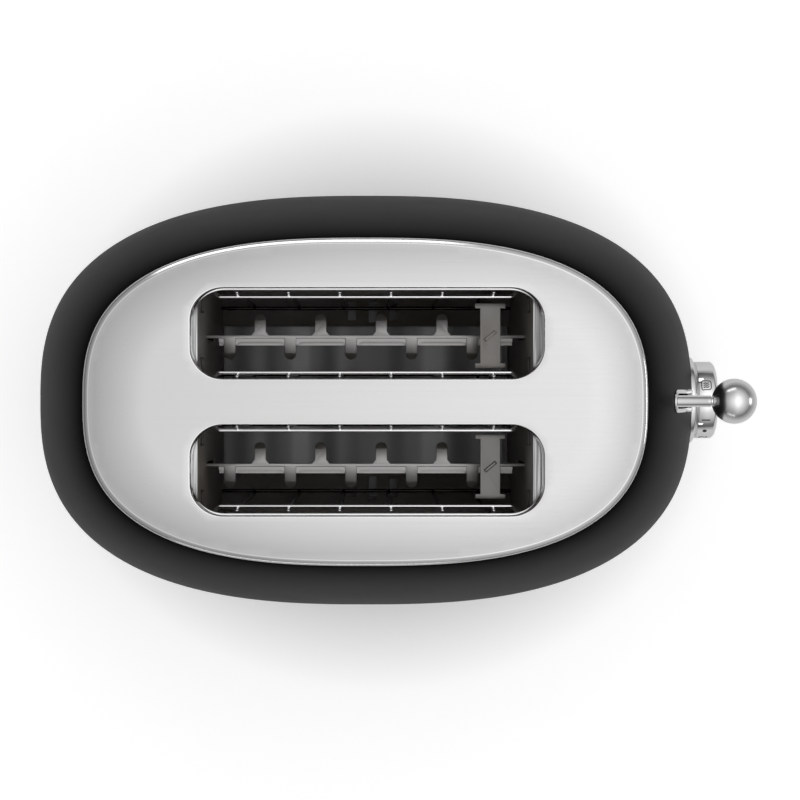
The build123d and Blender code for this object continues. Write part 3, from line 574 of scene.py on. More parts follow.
plateShape = {
    "edgeHeight": 0.0014, "crown": 0.198, "shoulder": 0.025, "reveal": 0.0002, "sheet": 0.001,
    "grid": 0.0026, "gridClear": 0.6, "halvings": 40,
    # Rolled edge: how far in from the plate's outline, and how far below its top
    "roll": ((0.0023, 0.0), (0.0020, 0.00005), (0.0017, 0.00018), (0.0012, 0.00047), (0.0007, 0.00077),
             (0.0004, 0.00098), (0.00015, 0.0012), (0.0, 0.0015)),
}
slotShape = {
    "length": 0.1471, "shift": 0.0008, "width": 0.0382, "corner": 0.0134, "pitch": 0.0572, "bow": 0.0004,
    "lipDepth": 0.008, "taper": 0.0004, "bead": 0.0006, "beadSteps": 8, "rimRound": 0.0005, "rimSteps": 6,
    "cornerSteps": 14, "sideStep": 0.004,
}
slotCentres = (slotShape["pitch"] / 2, -slotShape["pitch"] / 2)


# Height of the plate's top over points; the plate is domed over its shoulder
def plateHeight(places):
    x, y = np.array(places, dtype=float).T
    halfLength = caseShape["mouthLength"] / 2 - plateShape["reveal"]
    halfWidth = caseShape["mouthWidth"] / 2 - plateShape["reveal"]
    power = caseShape["mouthExponent"]
    dx = np.abs(x - middleX)
    dy = np.abs(y)
    low = np.zeros_like(dx)
    high = np.full_like(dx, halfWidth * 0.999)
    for _ in range(plateShape["halvings"]):
        inset = (low + high) / 2
        outside = (dx / (halfLength - inset)) ** power + (dy / (halfWidth - inset)) ** power > 1
        high = np.where(outside, inset, high)
        low = np.where(outside, low, inset)
    share = np.clip(low / plateShape["shoulder"], 0, 1)
    edge = caseShape["top"] + plateShape["edgeHeight"]
    return [float(z) for z in edge + (plateShape["crown"] - edge) * (1 - (1 - share) ** 2)]


# Outline of a bread slot: long straight sides, round corners and slightly bowed ends
def slotOutline(centre, grow=0.0, taper=0.0):
    corner = slotShape["corner"] - taper / 2 + grow
    halfWidth = slotShape["width"] / 2 - taper / 2 + grow
    straight = slotShape["length"] / 2 - taper + grow - corner
    steps = slotShape["cornerSteps"]
    count = int((slotShape["length"] - 2 * slotShape["corner"]) / slotShape["sideStep"])
    quarter = []
    for index in range(steps + 1):
        angle = pi / 2 * index / steps
        bow = slotShape["bow"] * cos(angle) ** 2
        quarter.append((straight + corner * cos(angle) + bow, halfWidth - corner + corner * sin(angle)))
    side = [(straight * (1 - 2 * index / count), halfWidth) for index in range(1, count)]
    upper = quarter + side + [(-x, y) for x, y in reversed(quarter)]
    lower = [(-x, -y) for x, y in upper]
    return [(middleX + slotShape["shift"] + x, centre + y) for x, y in upper + lower]


# Whether a point lies on the plate, further than margin from its edge and its slots
def insidePlate(x, y, margin):
    inset = plateShape["reveal"] + plateShape["roll"][0][0] + margin
    halfLength = caseShape["mouthLength"] / 2 - inset
    halfWidth = caseShape["mouthWidth"] / 2 - inset
    power = caseShape["mouthExponent"]
    if (abs(x - middleX) / halfLength) ** power + (abs(y) / halfWidth) ** power > 1:
        return False
    corner = slotShape["corner"]
    reach = corner + slotShape["rimRound"] + margin
    outX = abs(x - middleX - slotShape["shift"]) - (slotShape["length"] / 2 - corner)
    outY = abs(abs(y) - slotShape["pitch"] / 2) - (slotShape["width"] / 2 - corner)
    if outX <= 0 or outY <= 0:
        return outX > reach + (slotShape["bow"] if outX > 0 else 0.0) or outY > reach
    bow = slotShape["bow"] * cos(atan2(outY, outX)) ** 2
    return sqrt((outX - bow) ** 2 + outY ** 2) > reach


# Triangles between the plate's edge and the slots' rims, with the points they join
def plateTriangles(outlines, length, width):
    flat = []
    edges = []
    for loop in outlines:
        start = len(flat)
        flat.extend(loop)
        edges.extend((start + index, start + (index + 1) % len(loop)) for index in range(len(loop)))
    columns = int(length / plateShape["grid"])
    rows = int(width / plateShape["grid"])
    for row in range(rows + 1):
        for column in range(columns + 1):
            x = middleX + (column / columns - 0.5) * length
            y = (row / rows - 0.5) * width
            if insidePlate(x, y, plateShape["grid"] * plateShape["gridClear"]):
                flat.append((x, y))
    vertices, _, triangles, *_ = delaunay_2d_cdt([Vector(p) for p in flat], edges, [], 0, 1e-7)
    kept = []
    for triangle in triangles:
        middle = sum((vertices[index] for index in triangle), Vector((0, 0))) / 3
        if insidePlate(middle.x, middle.y, -1e-6):
            kept.append(tuple(triangle))
    return vertices, kept


# The bead that stiffens a lip's lower edge on the slot's outer side
def lipBead(loop, centre, level):
    half = slotShape["bead"] / 2
    side = 1 if centre > 0 else -1
    rings = []
    for step in range(1, slotShape["beadSteps"]):
        angle = pi / 2 - pi * step / slotShape["beadSteps"]
        ring = []
        for x, y in loop:
            share = max(side * (y - centre) / (slotShape["width"] / 2), 0.0) ** 3
            ring.append((x, y - side * share * 2 * half * cos(angle), level + half + half * sin(angle)))
        rings.append(ring)
    return rings


def makeTopPlate():
    shape = plateShape
    length = caseShape["mouthLength"] - 2 * shape["reveal"]
    width = caseShape["mouthWidth"] - 2 * shape["reveal"]
    power = caseShape["mouthExponent"]
    rim = slotShape["rimRound"]
    sheet = shape["sheet"]
    points = []
    faces = []

    def add(newPoints, newFaces):
        start = len(points)
        points.extend(newPoints)
        faces.extend(tuple(start + index for index in face) for face in newFaces)

    def addRings(rings):
        add([point for ring in rings for point in ring], ringFaces(rings))

    def lowered(loop, heights, drop):
        return [(x, y, z - drop) for (x, y), z in zip(loop, heights)]

    # The domed sheet, top and underside
    outer = ovalPoints(length, width, power, shape["roll"][0][0])
    outlines = [outer] + [slotOutline(centre, rim) for centre in slotCentres]
    vertices, kept = plateTriangles(outlines, length, width)
    heights = plateHeight([tuple(v) for v in vertices])
    add(lowered(vertices, heights, 0.0), kept)
    add(lowered(vertices, heights, sheet), [tuple(reversed(face)) for face in kept])
    buffedStart = len(faces)

    # Rolled outer edge
    heights = plateHeight(outer)
    rings = [lowered(ovalPoints(length, width, power, inset), heights, drop) for inset, drop in shape["roll"]]
    rings.append([(x, y, caseShape["top"]) for x, y in ovalPoints(length, width, power)])
    rings.append([(x, y, caseShape["top"]) for x, y in outer])
    addRings(rings + [lowered(outer, heights, sheet)])

    # Turned-down lips of the slots
    lipBottom = shape["crown"] - slotShape["lipDepth"]
    for centre in slotCentres:
        outline = slotOutline(centre, rim)
        heights = plateHeight(outline)
        rings = []
        for step in range(slotShape["rimSteps"] + 1):
            angle = pi / 2 * step / slotShape["rimSteps"]
            loop = slotOutline(centre, rim * (1 - sin(angle)))
            rings.append(lowered(loop, heights, rim * (1 - cos(angle))))
        loop = slotOutline(centre, 0.0, slotShape["taper"])
        rings.append([(x, y, lipBottom + slotShape["bead"]) for x, y in loop])
        rings.extend(lipBead(loop, centre, lipBottom))
        for grow in (0.0, sheet):
            rings.append([(x, y, lipBottom) for x, y in slotOutline(centre, grow, slotShape["taper"])])
        addRings(rings + [lowered(outline, heights, sheet)])

    plate = makeObject("topPlate", points, faces)
    plate.data.materials.append(materials["plateSteel"])
    plate.data.materials.append(materials["buffedEdge"])
    for face in plate.data.polygons[buffedStart:]:
        face.material_index = 1
    finishPiece(plate, "chassis", "plate_steel", ["top_plate"], smooth=50)


makeTopPlate()
print("top plate made")

skirtShape = {
    "length": 0.2992, "width": 0.1842, "exponent": 2.6,
    # Section of the ring, as inset from the outline and height
    "section": ((0.0, 0.0061), (0.0, 0.0187), (0.0003, 0.0190), (0.0015, 0.0190), (0.0015, 0.0238),
                (0.0018, 0.0240), (0.0028, 0.0240), (0.0030, 0.0238), (0.0030, 0.0080), (0.0110, 0.0080),
                (0.0110, 0.0053), (0.0107, 0.0050), (0.0011, 0.0050), (0.0006, 0.0052), (0.0002, 0.0056)),
    "windowStart": 0.2, "windowEnd": 0.1297, "windowHalf": 0.0504, "windowBottom": 0.0092, "windowTop": 0.017,
    "recess": 0.0033, "recessBottom": 0.004, "recessTop": 0.007,
}


# Turned forms: profile is a list of (distance along the axis, radius), places say where each one stands
def turned(name, profile, places, around=64, closed=False):
    points = []
    faces = []
    angles = [2 * pi * index / around for index in range(around)]
    for place in places:
        start = len(points)
        rings = [[place(along, radius * cos(angle), radius * sin(angle)) for angle in angles]
                 for along, radius in profile]
        points.extend(point for ring in rings for point in ring)
        faces.extend(tuple(start + index for index in face) for face in ringFaces(rings, closed))
        for level in (0, len(rings) - 1):
            if not closed and profile[level][1] > 1e-6:
                first = start + level * around
                faces.append(tuple(range(first, first + around)))
    return makeObject(name, points, faces)


def alongX(z):
    return lambda along, across, up: (middleX + along, across, z + up)


def alongZ(x, y):
    return lambda along, across, up: (x + across, y + up, along)


# Middles of a CAD node's separate solids
def solidMiddles(node):
    middles = []
    seen = set()

    def change(work):
        bmesh.ops.remove_doubles(work, verts=work.verts, dist=mergeDistance)
        for vertex in work.verts:
            if vertex in seen:
                continue
            seen.add(vertex)
            stack = [vertex]
            group = []
            while stack:
                here = stack.pop()
                group.append(here.co.copy())
                for edge in here.link_edges:
                    other = edge.other_vert(here)
                    if other not in seen:
                        seen.add(other)
                        stack.append(other)
            middles.append(tuple((min(p[i] for p in group) + max(p[i] for p in group)) / 2 for i in (0, 1)))
    copy = cadNodes[node].data.copy()
    rework(copy, change)
    bpy.data.meshes.remove(copy)
    return middles


def boxObject(name, low, high):
    rings = [[(low[0], y, z), (high[0], y, z), (high[0], y, up), (low[0], y, up)]
             for y, z, up in ((low[1], low[2], high[2]), (high[1], low[2], high[2]))]
    return ringObject(name, rings, capped=True, smooth=False)


baseScrews = solidMiddles("base_screws")
chassisScrews = solidMiddles("chassis_screws")


def makeSkirt():
    shape = skirtShape
    skirt = ringObject("baseSkirt", [
        [(x, y, height) for x, y in ovalPoints(shape["length"], shape["width"], shape["exponent"], inset)]
        for inset, height in shape["section"]], closed=True)
    half = shape["windowHalf"]
    window = boxObject("trayWindow", (middleX - shape["windowStart"], -half, shape["windowBottom"]),
                       (middleX - shape["windowEnd"], half, shape["windowTop"]))
    recess = [(shape[level], shape["recess"]) for level in ("recessBottom", "recessTop")]
    recesses = turned("screwRecesses", recess, [alongZ(x, y) for x, y in baseScrews], around=40)
    cutWith(skirt, [window, recesses])
    finishPiece(skirt, "chassis", "chrome_trim", ["base_skirt"], smooth=40)


# Height and radius of a foot, from the hollow underneath to the neck in the ledge
footProfile = ((0.0016, 0.0), (0.0016, 0.0052), (0.0013, 0.0056), (0.0003, 0.0060), (0.0, 0.0064),
               (0.0, 0.0079), (0.0003, 0.0086), (0.0009, 0.0090), (0.0042, 0.0090), (0.0047, 0.0088),
               (0.0050, 0.0083), (0.0050, 0.0060), (0.0079, 0.0060), (0.0080, 0.0059), (0.0080, 0.0))

makeSkirt()
feet = turned("rubberFeet", footProfile, [alongZ(x, y) for x, y in solidMiddles("rubber_feet")], around=56)
finishPiece(feet, "chassis", "foot_rubber", ["rubber_feet"], smooth=32)
print("base made")

screwShape = {"head": 0.003, "headHeight": 0.002, "shank": 0.0015, "length": 0.008, "thread": 0.0005,
              "crossLength": 0.0017, "crossWidth": 0.00042, "crossDepth": 0.0009, "crossTaper": 0.55}


# One cross-headed screw, its head's top at the origin and its shank pointing down
def screwMesh():
    shape = screwShape
    head = shape["head"]
    thread = shape["thread"]
    profile = [(0.0, 0.0), (0.0, head * 0.62), (-0.0003, head * 0.85), (-0.0008, head * 0.98),
               (-0.0013, head), (-shape["headHeight"], head), (-shape["headHeight"], shape["shank"])]
    level = shape["headHeight"] + thread
    while level < shape["length"] - thread:
        profile += [(-level, shape["shank"]), (-level - thread / 2, shape["shank"] * 0.84)]
        level += thread
    profile += [(-shape["length"], shape["shank"] * 0.6), (-shape["length"], 0.0)]
    screw = turned("screw", profile, [alongZ(0.0, 0.0)], around=28)
    long = shape["crossLength"]
    wide = shape["crossWidth"]
    cutters = [boxObject("crossCutter", (-x, -y, -shape["crossDepth"]), (x, y, 0.001))
               for x, y in ((long, wide), (wide, long))]
    for cutter in cutters:
        for vertex in cutter.data.vertices:
            if vertex.co.z < 0:
                vertex.co.x *= shape["crossTaper"]
                vertex.co.y *= shape["crossTaper"]
    cutWith(screw, cutters)
    smoothByAngle(screw, 35)
    return screw


# Screws set on the points of a carrier mesh, each turned about its own axis by a seeded chance
def screwTree(template, flip, seed):
    tree = Tree(bpy.data.node_groups.new("screwSet", "GeometryNodeTree"))
    given = tree.carrier()
    size = tree.inputs({"flip": flip})
    pattern = tree.add("GeometryNodeObjectInfo", {}, {"Object": template}, output="Geometry")
    chance = tree.add("FunctionNodeRandomValue", {"data_type": "FLOAT"}, {
        2: 0.0, 3: 2 * pi, "Seed": seed}, output=1)
    turn = tree.add("ShaderNodeCombineXYZ", {}, {0: size["flip"], 2: chance})
    screws = tree.add("GeometryNodeInstanceOnPoints", {}, {
        "Points": given, "Instance": pattern, "Rotation": turn})
    return tree.finish(screws, materials["zincScrews"])


def makeScrews(name, places, level, flip, node, seed):
    template = screwMesh()
    points = [(x, y, level) for x, y in places]
    screws = fromTree(name, screwTree(template, flip, seed), {"flip": flip}, points)
    bpy.data.objects.remove(template)
    finishPiece(screws, "chassis", "zinc_screws", [node])


makeScrews("baseScrews", baseScrews, 0.005, pi, "base_screws", 3)
makeScrews("chassisScrews", chassisScrews, 0.0122, 0.0, "chassis_screws", 5)
print("screws set")


# How far the case reaches towards the lever end at a height and a distance across
def caseReach(y, z):
    shape = caseShape
    rise = min(max((z - shape["widest"]) / (shape["top"] - shape["widest"]), 0.0), 1.0)
    out = (1 - rise ** shape["shoulder"]) ** (1 / shape["shoulder"])
    below = min(max((shape["widest"] - z) / (shape["widest"] - shape["bottom"]), 0.0), 1.0)
    inset = shape["tuck"] * below ** 2
    halfLength = (shape["mouthLength"] + (shape["length"] - shape["mouthLength"]) * out) / 2 - inset
    halfWidth = (shape["mouthWidth"] + (shape["width"] - shape["mouthWidth"]) * out) / 2 - inset
    power = shape["exponent"] + (shape["mouthExponent"] - shape["exponent"]) * rise
    return middleX + halfLength * (1 - (abs(y) / halfWidth) ** power) ** (1 / power)


# A point that stands proud of the case at the lever end
def onCase(y, z, proud):
    step = 0.0002
    slopeY = (caseReach(y + step, z) - caseReach(y - step, z)) / (2 * step)
    slopeZ = (caseReach(y, z + step) - caseReach(y, z - step)) / (2 * step)
    outward = Vector((1.0, -slopeY, -slopeZ)).normalized()
    return tuple(Vector((caseReach(y, z), y, z)) + outward * proud)


trimShape = {
    "outer": 0.0051, "opening": 0.00325, "low": 0.1041, "high": 0.1559, "steps": 22, "sideSteps": 30,
    "seat": 0.0002, "proud": 0.001,
}


# Points round an upright slot, as (across, height)
def slotRound(radius):
    shape = trimShape
    points = []
    for middle, other, start in ((shape["high"], shape["low"], 0.0), (shape["low"], shape["high"], pi)):
        for index in range(shape["steps"] + 1):
            angle = start + pi * index / shape["steps"]
            points.append((radius * cos(angle), middle + radius * sin(angle)))
        side = -radius if start == 0.0 else radius
        points.extend((side, middle + (other - middle) * index / shape["sideSteps"])
                      for index in range(1, shape["sideSteps"]))
    return points


def makeTrim():
    outer = trimShape["outer"]
    inner = trimShape["opening"]
    proud = trimShape["proud"]
    seat = trimShape["seat"]
    section = ((outer, seat), (outer, proud * 0.6), (outer - 0.00015, proud * 0.82),
               (outer - 0.0004, proud * 0.96), (outer - 0.0007, proud), (inner + 0.0006, proud),
               (inner + 0.0003, proud * 0.95), (inner + 0.0001, proud * 0.8), (inner, proud * 0.55),
               (inner, seat))
    trim = ringObject("leverTrim", [[onCase(y, z, height) for y, z in slotRound(radius)]
                                    for radius, height in section], closed=True)
    finishPiece(trim, "chassis", "chrome_trim", ["lever_trim"], smooth=40)


bezelShape = {
    "front": 0.1557, "radius": 0.02045, "bore": 0.012, "height": 0.062, "seat": 0.0002, "around": 180,
}


# Ring behind the dial; where its section has no distance along X, it follows the case
def makeBezel():
    shape = bezelShape
    front = middleX + shape["front"]
    outer = shape["radius"]
    bore = shape["bore"]
    section = ((outer, None), (outer, front - 0.0009), (outer - 0.0002, front - 0.0004),
               (outer - 0.0005, front - 0.0001), (outer - 0.0009, front), (bore + 0.0005, front),
               (bore + 0.0001, front - 0.0002), (bore, front - 0.0005), (bore, None), (0.0162, None))
    rings = []
    for radius, x in section:
        angles = [2 * pi * index / shape["around"] for index in range(shape["around"])]
        ring = [(radius * sin(angle), shape["height"] + radius * cos(angle)) for angle in angles]
        rings.append([(caseReach(y, z) + shape["seat"] if x is None else x, y, z) for y, z in ring])
    bezel = ringObject("dialBezel", rings, closed=True)
    finishPiece(bezel, "chassis", "chrome_trim", ["dial_bezel"], smooth=40)


makeTrim()
makeBezel()

dialShape = {
    "height": 0.062, "rim": 0.0183, "markMiddle": 0.1606, "ink": 0.00002, "lift": 0.00003,
    # Distance out from the case's middle and radius; the groove near 0.1645 lies outside the numerals
    "profile": ((0.1560, 0.00515), (0.1560, 0.0172), (0.1562, 0.0175), (0.1570, 0.0182), (0.1573, 0.0183),
                (0.1644, 0.0183), (0.1647, 0.0182), (0.1654, 0.0176), (0.1660, 0.0168), (0.1662, 0.0162),
                (0.1663, 0.0155), (0.16625, 0.0142), (0.16605, 0.0136), (0.1659, 0.0092), (0.1661, 0.0086),
                (0.1662, 0.0082), (0.1661, 0.00775), (0.1607, 0.00765), (0.1607, 0.00515)),
    "cap": ((0.1625, 0.0), (0.1625, 0.0075), (0.1663, 0.0075), (0.1666, 0.00742), (0.1669, 0.0071),
            (0.1671, 0.0067), (0.16705, 0.0060), (0.16675, 0.0035), (0.1666, 0.0)),
    "numerals": 6, "firstNumeral": -31.0, "pitch": -44.0, "firstDot": -53.0, "dot": 0.00105, "dotSteps": 20,
    "iconAngle": 22.8, "numeralHeight": 0.0040, "stroke": 0.00042,
    "fontSize": 0.006, "fontSteps": 6, "slice": 0.00225, "sliceSteps": 40, "sliceRound": 0.45,
    "sliceTop": 1.16, "sliceShoulder": 0.0010, "waves": (-0.0010, 0.0, 0.0010), "waveSteps": 16,
    "waveSway": 0.00026, "waveHalf": 0.0013, "stem": ((0.0013, 0.0023), (0.0013, 0.0039)),
}
inkLevels = (dialShape["lift"] - dialShape["ink"], dialShape["lift"] + dialShape["ink"])


# A mark's flat point bent round the dial's rim: right goes round it, up goes towards the case
def onRim(angle, right, up, lift):
    turn = radians(angle) + right / dialShape["rim"]
    radius = dialShape["rim"] + lift
    x = middleX + dialShape["markMiddle"] - up
    return (x, radius * sin(turn), dialShape["height"] + radius * cos(turn))


def numeralMark(number, angle):
    curve = bpy.data.curves.new("numeral", "FONT")
    curve.body = str(number)
    curve.size = dialShape["fontSize"]
    curve.extrude = dialShape["ink"]
    curve.resolution_u = dialShape["fontSteps"]
    text = placeObject("numeral", curve)
    mesh = bpy.data.meshes.new_from_object(text.evaluated_get(bpy.context.evaluated_depsgraph_get()))
    bpy.data.objects.remove(text)
    low = [min(v.co[i] for v in mesh.vertices) for i in (0, 1)]
    high = [max(v.co[i] for v in mesh.vertices) for i in (0, 1)]
    scale = dialShape["numeralHeight"] / (high[1] - low[1])
    for vertex in mesh.vertices:
        right, up = ((vertex.co[i] - (low[i] + high[i]) / 2) * scale for i in (0, 1))
        vertex.co = onRim(angle, right, up, dialShape["lift"] + vertex.co.z)
    return placeObject("numeral", mesh)


# A drawn line on the rim: a thin flat bar swept along points (right, up)
def lineMark(angle, points, closed=False):
    half = dialShape["stroke"] / 2
    low, high = inkLevels
    rings = []
    last = len(points) - 1
    for index, (right, up) in enumerate(points):
        before = points[index - 1 if closed else max(index - 1, 0)]
        after = points[(index + 1) % len(points) if closed else min(index + 1, last)]
        way = Vector((after[0] - before[0], after[1] - before[1])).normalized()
        side = Vector((-way.y, way.x)) * half
        rings.append([onRim(angle, right + sign * side.x, up + sign * side.y, lift)
                      for sign, lift in ((1, low), (-1, low), (-1, high), (1, high))])
    return ringObject("lineMark", rings, closed, capped=not closed, smooth=False)


def dotMark(angle):
    turns = [2 * pi * index / dialShape["dotSteps"] for index in range(dialShape["dotSteps"])]
    dot = dialShape["dot"]
    rings = [[onRim(angle, dot * cos(turn), dot * sin(turn), lift) for turn in turns] for lift in inkLevels]
    return ringObject("dotMark", rings, capped=True, smooth=False)


# Outline of a slice of bread with wavy lines of warmth in it and a stem beside it
def sliceMarks(angle):
    shape = dialShape
    outline = []
    for index in range(shape["sliceSteps"]):
        turn = 2 * pi * index / shape["sliceSteps"]
        across = shape["slice"] * (abs(cos(turn)) ** shape["sliceRound"]) * (1 if cos(turn) > 0 else -1)
        up = shape["slice"] * (abs(sin(turn)) ** shape["sliceRound"]) * (1 if sin(turn) > 0 else -1)
        if up > shape["sliceShoulder"]:
            across *= shape["sliceTop"]
        outline.append((across, up))
    marks = [lineMark(angle, outline, closed=True)]
    steps = shape["waveSteps"]
    half = shape["waveHalf"]
    for middle in shape["waves"]:
        marks.append(lineMark(angle, [
            (middle + shape["waveSway"] * sin(4 * pi * index / steps), -half + 2 * half * index / steps)
            for index in range(steps + 1)]))
    return marks + [lineMark(angle, shape["stem"])]


def makeDial():
    shape = dialShape
    place = alongX(shape["height"])
    dial = turned("browningDial", shape["profile"], [place], around=160, closed=True)
    finishPiece(dial, "dial", "chrome_dial", ["browning_dial"], smooth=38)
    cap = turned("cancelCap", shape["cap"], [place], around=96)
    finishPiece(cap, "cancel", "chrome_dial", ["cancel_button"], smooth=38)
    marks = sliceMarks(shape["iconAngle"])
    for index in range(shape["numerals"]):
        marks.append(numeralMark(index + 1, shape["firstNumeral"] + index * shape["pitch"]))
    for index in range(shape["numerals"] - 1):
        marks.append(dotMark(shape["firstDot"] + index * shape["pitch"]))
    ink = weld(joinPieces(marks[0], marks[1:]), 1e-7)
    ink.name = "dialMarks"
    ink.data.materials.clear()
    ink.data.materials.append(materials["dialInk"])
    finishPiece(ink, "dial", "dark_plastic")


makeDial()
print("dial made")

leverShape = {
    "height": 0.156, "ballMiddle": 0.1609, "ballRadius": 0.00985, "ballSteps": 56,
    # Distance out from the case's middle and radius of the rod; its last part goes into the ball
    "rod": ((0.0930, 0.0), (0.0930, 0.0022), (0.09335, 0.00255), (0.1504, 0.00255), (0.1507, 0.0023),
            (0.1508, 0.0019), (0.1520, 0.0019), (0.1560, 0.0019), (0.1560, 0.0)),
}


def makeLever():
    shape = leverShape
    place = alongX(shape["height"])
    rod = turned("leverRod", shape["rod"], [place], around=56)
    finishPiece(rod, "carriage", "chrome_trim", ["lever_rod"], smooth=40)
    radius = shape["ballRadius"]
    angles = [pi * step / shape["ballSteps"] for step in range(shape["ballSteps"] + 1)]
    profile = [(shape["ballMiddle"] - radius * cos(angle), max(radius * sin(angle), 0.0)) for angle in angles]
    ball = turned("leverBall", profile, [place], around=112)
    finishPiece(ball, "carriage", "chrome_ball", ["lever_knob"], smooth=40)


makeLever()
print("lever made")

# Guard wires, in the slot's own terms: distance along X from the case's middle, distance away from
# the bread, height
guardShape = {
    "wire": 0.0008, "bend": 0.0016, "bars": 6, "pitch": 0.0219, "foot": 0.034, "knee": 0.0372,
    "top": 0.174, "tip": 0.178, "lean": 0.0013, "tipLean": 0.0017, "camLean": 0.0045,
    "camFoot": 0.0436, "camLow": 0.141, "camHigh": 0.149, "half": 0.06275, "drop": 0.005,
    "pivotHalf": 0.0735, "inner": 0.01235, "outer": 0.04485,
    "hook": 0.0004, "hookOut": 0.0699, "hookEnd": 0.0742, "hookLow": 0.166, "hookFar": 0.0164,
    "hookNear": 0.010, "bendSteps": 4, "around": 12, "beadRings": 8,
}


# Welded wire along the edges of a carrier mesh, its corners bent and its ends rounded
def wireTree(wire, bend):
    tree = Tree(bpy.data.node_groups.new("bentWire", "GeometryNodeTree"))
    given = tree.carrier()
    size = tree.inputs({"wire": wire, "bend": bend})
    path = tree.add("GeometryNodeMeshToCurve", {}, {"Mesh": given})
    bent = tree.add("GeometryNodeFilletCurve", {"mode": "POLY"}, {
        "Curve": path, "Count": guardShape["bendSteps"], "Radius": size["bend"], "Limit Radius": True})
    section = tree.add("GeometryNodeCurvePrimitiveCircle", {"mode": "RADIUS"}, {
        "Resolution": guardShape["around"], "Radius": size["wire"]})
    wires = tree.add("GeometryNodeCurveToMesh", {}, {
        "Curve": bent, "Profile Curve": section, "Fill Caps": True})
    ends = tree.add("GeometryNodeCurveEndpointSelection")
    bead = tree.add("GeometryNodeMeshUVSphere", {}, {
        "Segments": guardShape["around"], "Rings": guardShape["beadRings"], "Radius": size["wire"]})
    beads = tree.add("GeometryNodeInstanceOnPoints", {}, {
        "Points": bent, "Selection": ends, "Instance": bead})
    both = tree.add("GeometryNodeJoinGeometry", {}, {"Geometry": wires})
    tree.link(beads, both.node, "Geometry")
    smooth = tree.add("GeometryNodeSetShadeSmooth", {}, {"Geometry": both})
    return tree.finish(smooth, materials["guardWire"])


def wireMesh(name, chains, wire, bend):
    points = []
    edges = []
    for chain in chains:
        start = len(points)
        points.extend(chain)
        edges.extend((start + index, start + index + 1) for index in range(len(chain) - 1))
    return fromTree(name, wireTree(wire, bend), {"wire": wire, "bend": bend}, points, edges)


def makeGuard(row, side):
    shape = guardShape
    sign = 1 if side == "left" else -1
    away = sign if row == "outer" else -sign

    def at(x, off, z):
        return (middleX + x, shape[row] * sign + away * off, z)

    half = shape["half"]
    top = shape["top"]
    drop = shape["drop"]
    lean = shape["lean"]
    chains = [
        [at(-half - drop, drop, top - drop), at(-half, 0, top),
         at(half, 0, top), at(half + drop, drop, top - drop)],
        [at(-shape["pivotHalf"], 0, shape["foot"]), at(shape["pivotHalf"], 0, shape["foot"])],
    ]
    for bar in range(shape["bars"]):
        x = (bar - (shape["bars"] - 1) / 2) * shape["pitch"]
        bends = [(0, shape["foot"]), (lean, shape["knee"])]
        if bar == shape["bars"] - 1:
            bends += [(shape["camLean"], shape["camFoot"]), (shape["camLean"], shape["camLow"]),
                      (lean, shape["camHigh"])]
        bends += [(lean, top), (shape["tipLean"], shape["tip"])]
        chains.append([at(x, off, z) for off, z in bends])
    title = "breadGuard" + row.capitalize() + side.capitalize()
    guard = wireMesh(title, chains, shape["wire"], shape["bend"])
    name = row + "_" + side
    finishPiece(guard, "guard_" + name, "guard_wire", ["bread_guard_" + name], smooth=50)


# Small wire hooks on the end plates, beside the ends of the guards
def makeHooks():
    shape = guardShape
    bends = (("hookEnd", "hookFar", "hookLow"), ("hookOut", "hookFar", "hookLow"),
             ("hookOut", "hookFar", "top"), ("hookOut", "hookNear", "top"),
             ("hookOut", "hookNear", "hookLow"), ("hookEnd", "hookNear", "hookLow"))
    chains = [[(middleX + end * shape[out], centre + lean * shape[off], shape[level])
               for out, off, level in bends]
              for centre in slotCentres for end in (-1, 1) for lean in (-1, 1)]
    hooks = wireMesh("guardHooks", chains, shape["hook"], shape["hook"])
    for index in range(len(hooks.data.materials)):
        hooks.data.materials[index] = materials["hookSteel"]
    finishPiece(hooks, "chassis", "guard_wire", (), smooth=50)


for row in ("outer", "inner"):
    for side in ("left", "right"):
        makeGuard(row, side)
makeHooks()
print("guards made")

# Pressed pieces whose CAD form is kept and whose edges are eased: name, body, slot, width of the easing
easedPieces = {
    "bread_rack_left": ("rackLeft", "carriage", "rack_steel", 0.00028),
    "bread_rack_right": ("rackRight", "carriage", "rack_steel", 0.00028),
    "guard_spreader_left": ("spreaderLeft", "carriage", "rack_steel", 0.0003),
    "guard_spreader_right": ("spreaderRight", "carriage", "rack_steel", 0.0003),
    "tray_pull": ("trayPull", "tray", "chrome_trim", 0.0003),
    "carriage_bracket": ("carriageBracket", "carriage", "galvanised_sheet", 0.0003),
    "slide_bush": ("slideBush", "carriage", "dark_plastic", 0.0005),
    "cord_gland": ("cordBushing", "chassis", "dark_plastic", 0.0004),
    "terminal_block": ("terminalBlock", "chassis", "pale_ceramic", 0.0004),
}

easingRule = {"merge": 2e-6, "flat": 0.4, "segments": 3, "sharpFrom": 35, "smooth": 42}


# A copy of a CAD node, merged, with its sharp edges rounded
def ease(node, name, body, slot, width):
    mesh = cadNodes[node].data.copy()
    mesh.name = name
    mesh.materials.clear()

    def change(work):
        bmesh.ops.remove_doubles(work, verts=work.verts, dist=easingRule["merge"])
        bmesh.ops.dissolve_limit(work, angle_limit=radians(easingRule["flat"]), verts=work.verts,
                                 edges=work.edges)
    rework(mesh, change)
    piece = placeObject(name, mesh)
    easing = piece.modifiers.new("easing", "BEVEL")
    easing.width = width
    easing.segments = easingRule["segments"]
    easing.limit_method = "ANGLE"
    easing.angle_limit = radians(easingRule["sharpFrom"])
    easing.use_clamp_overlap = True
    return finishPiece(applyModifiers(piece), body, slot, [node], smooth=easingRule["smooth"])


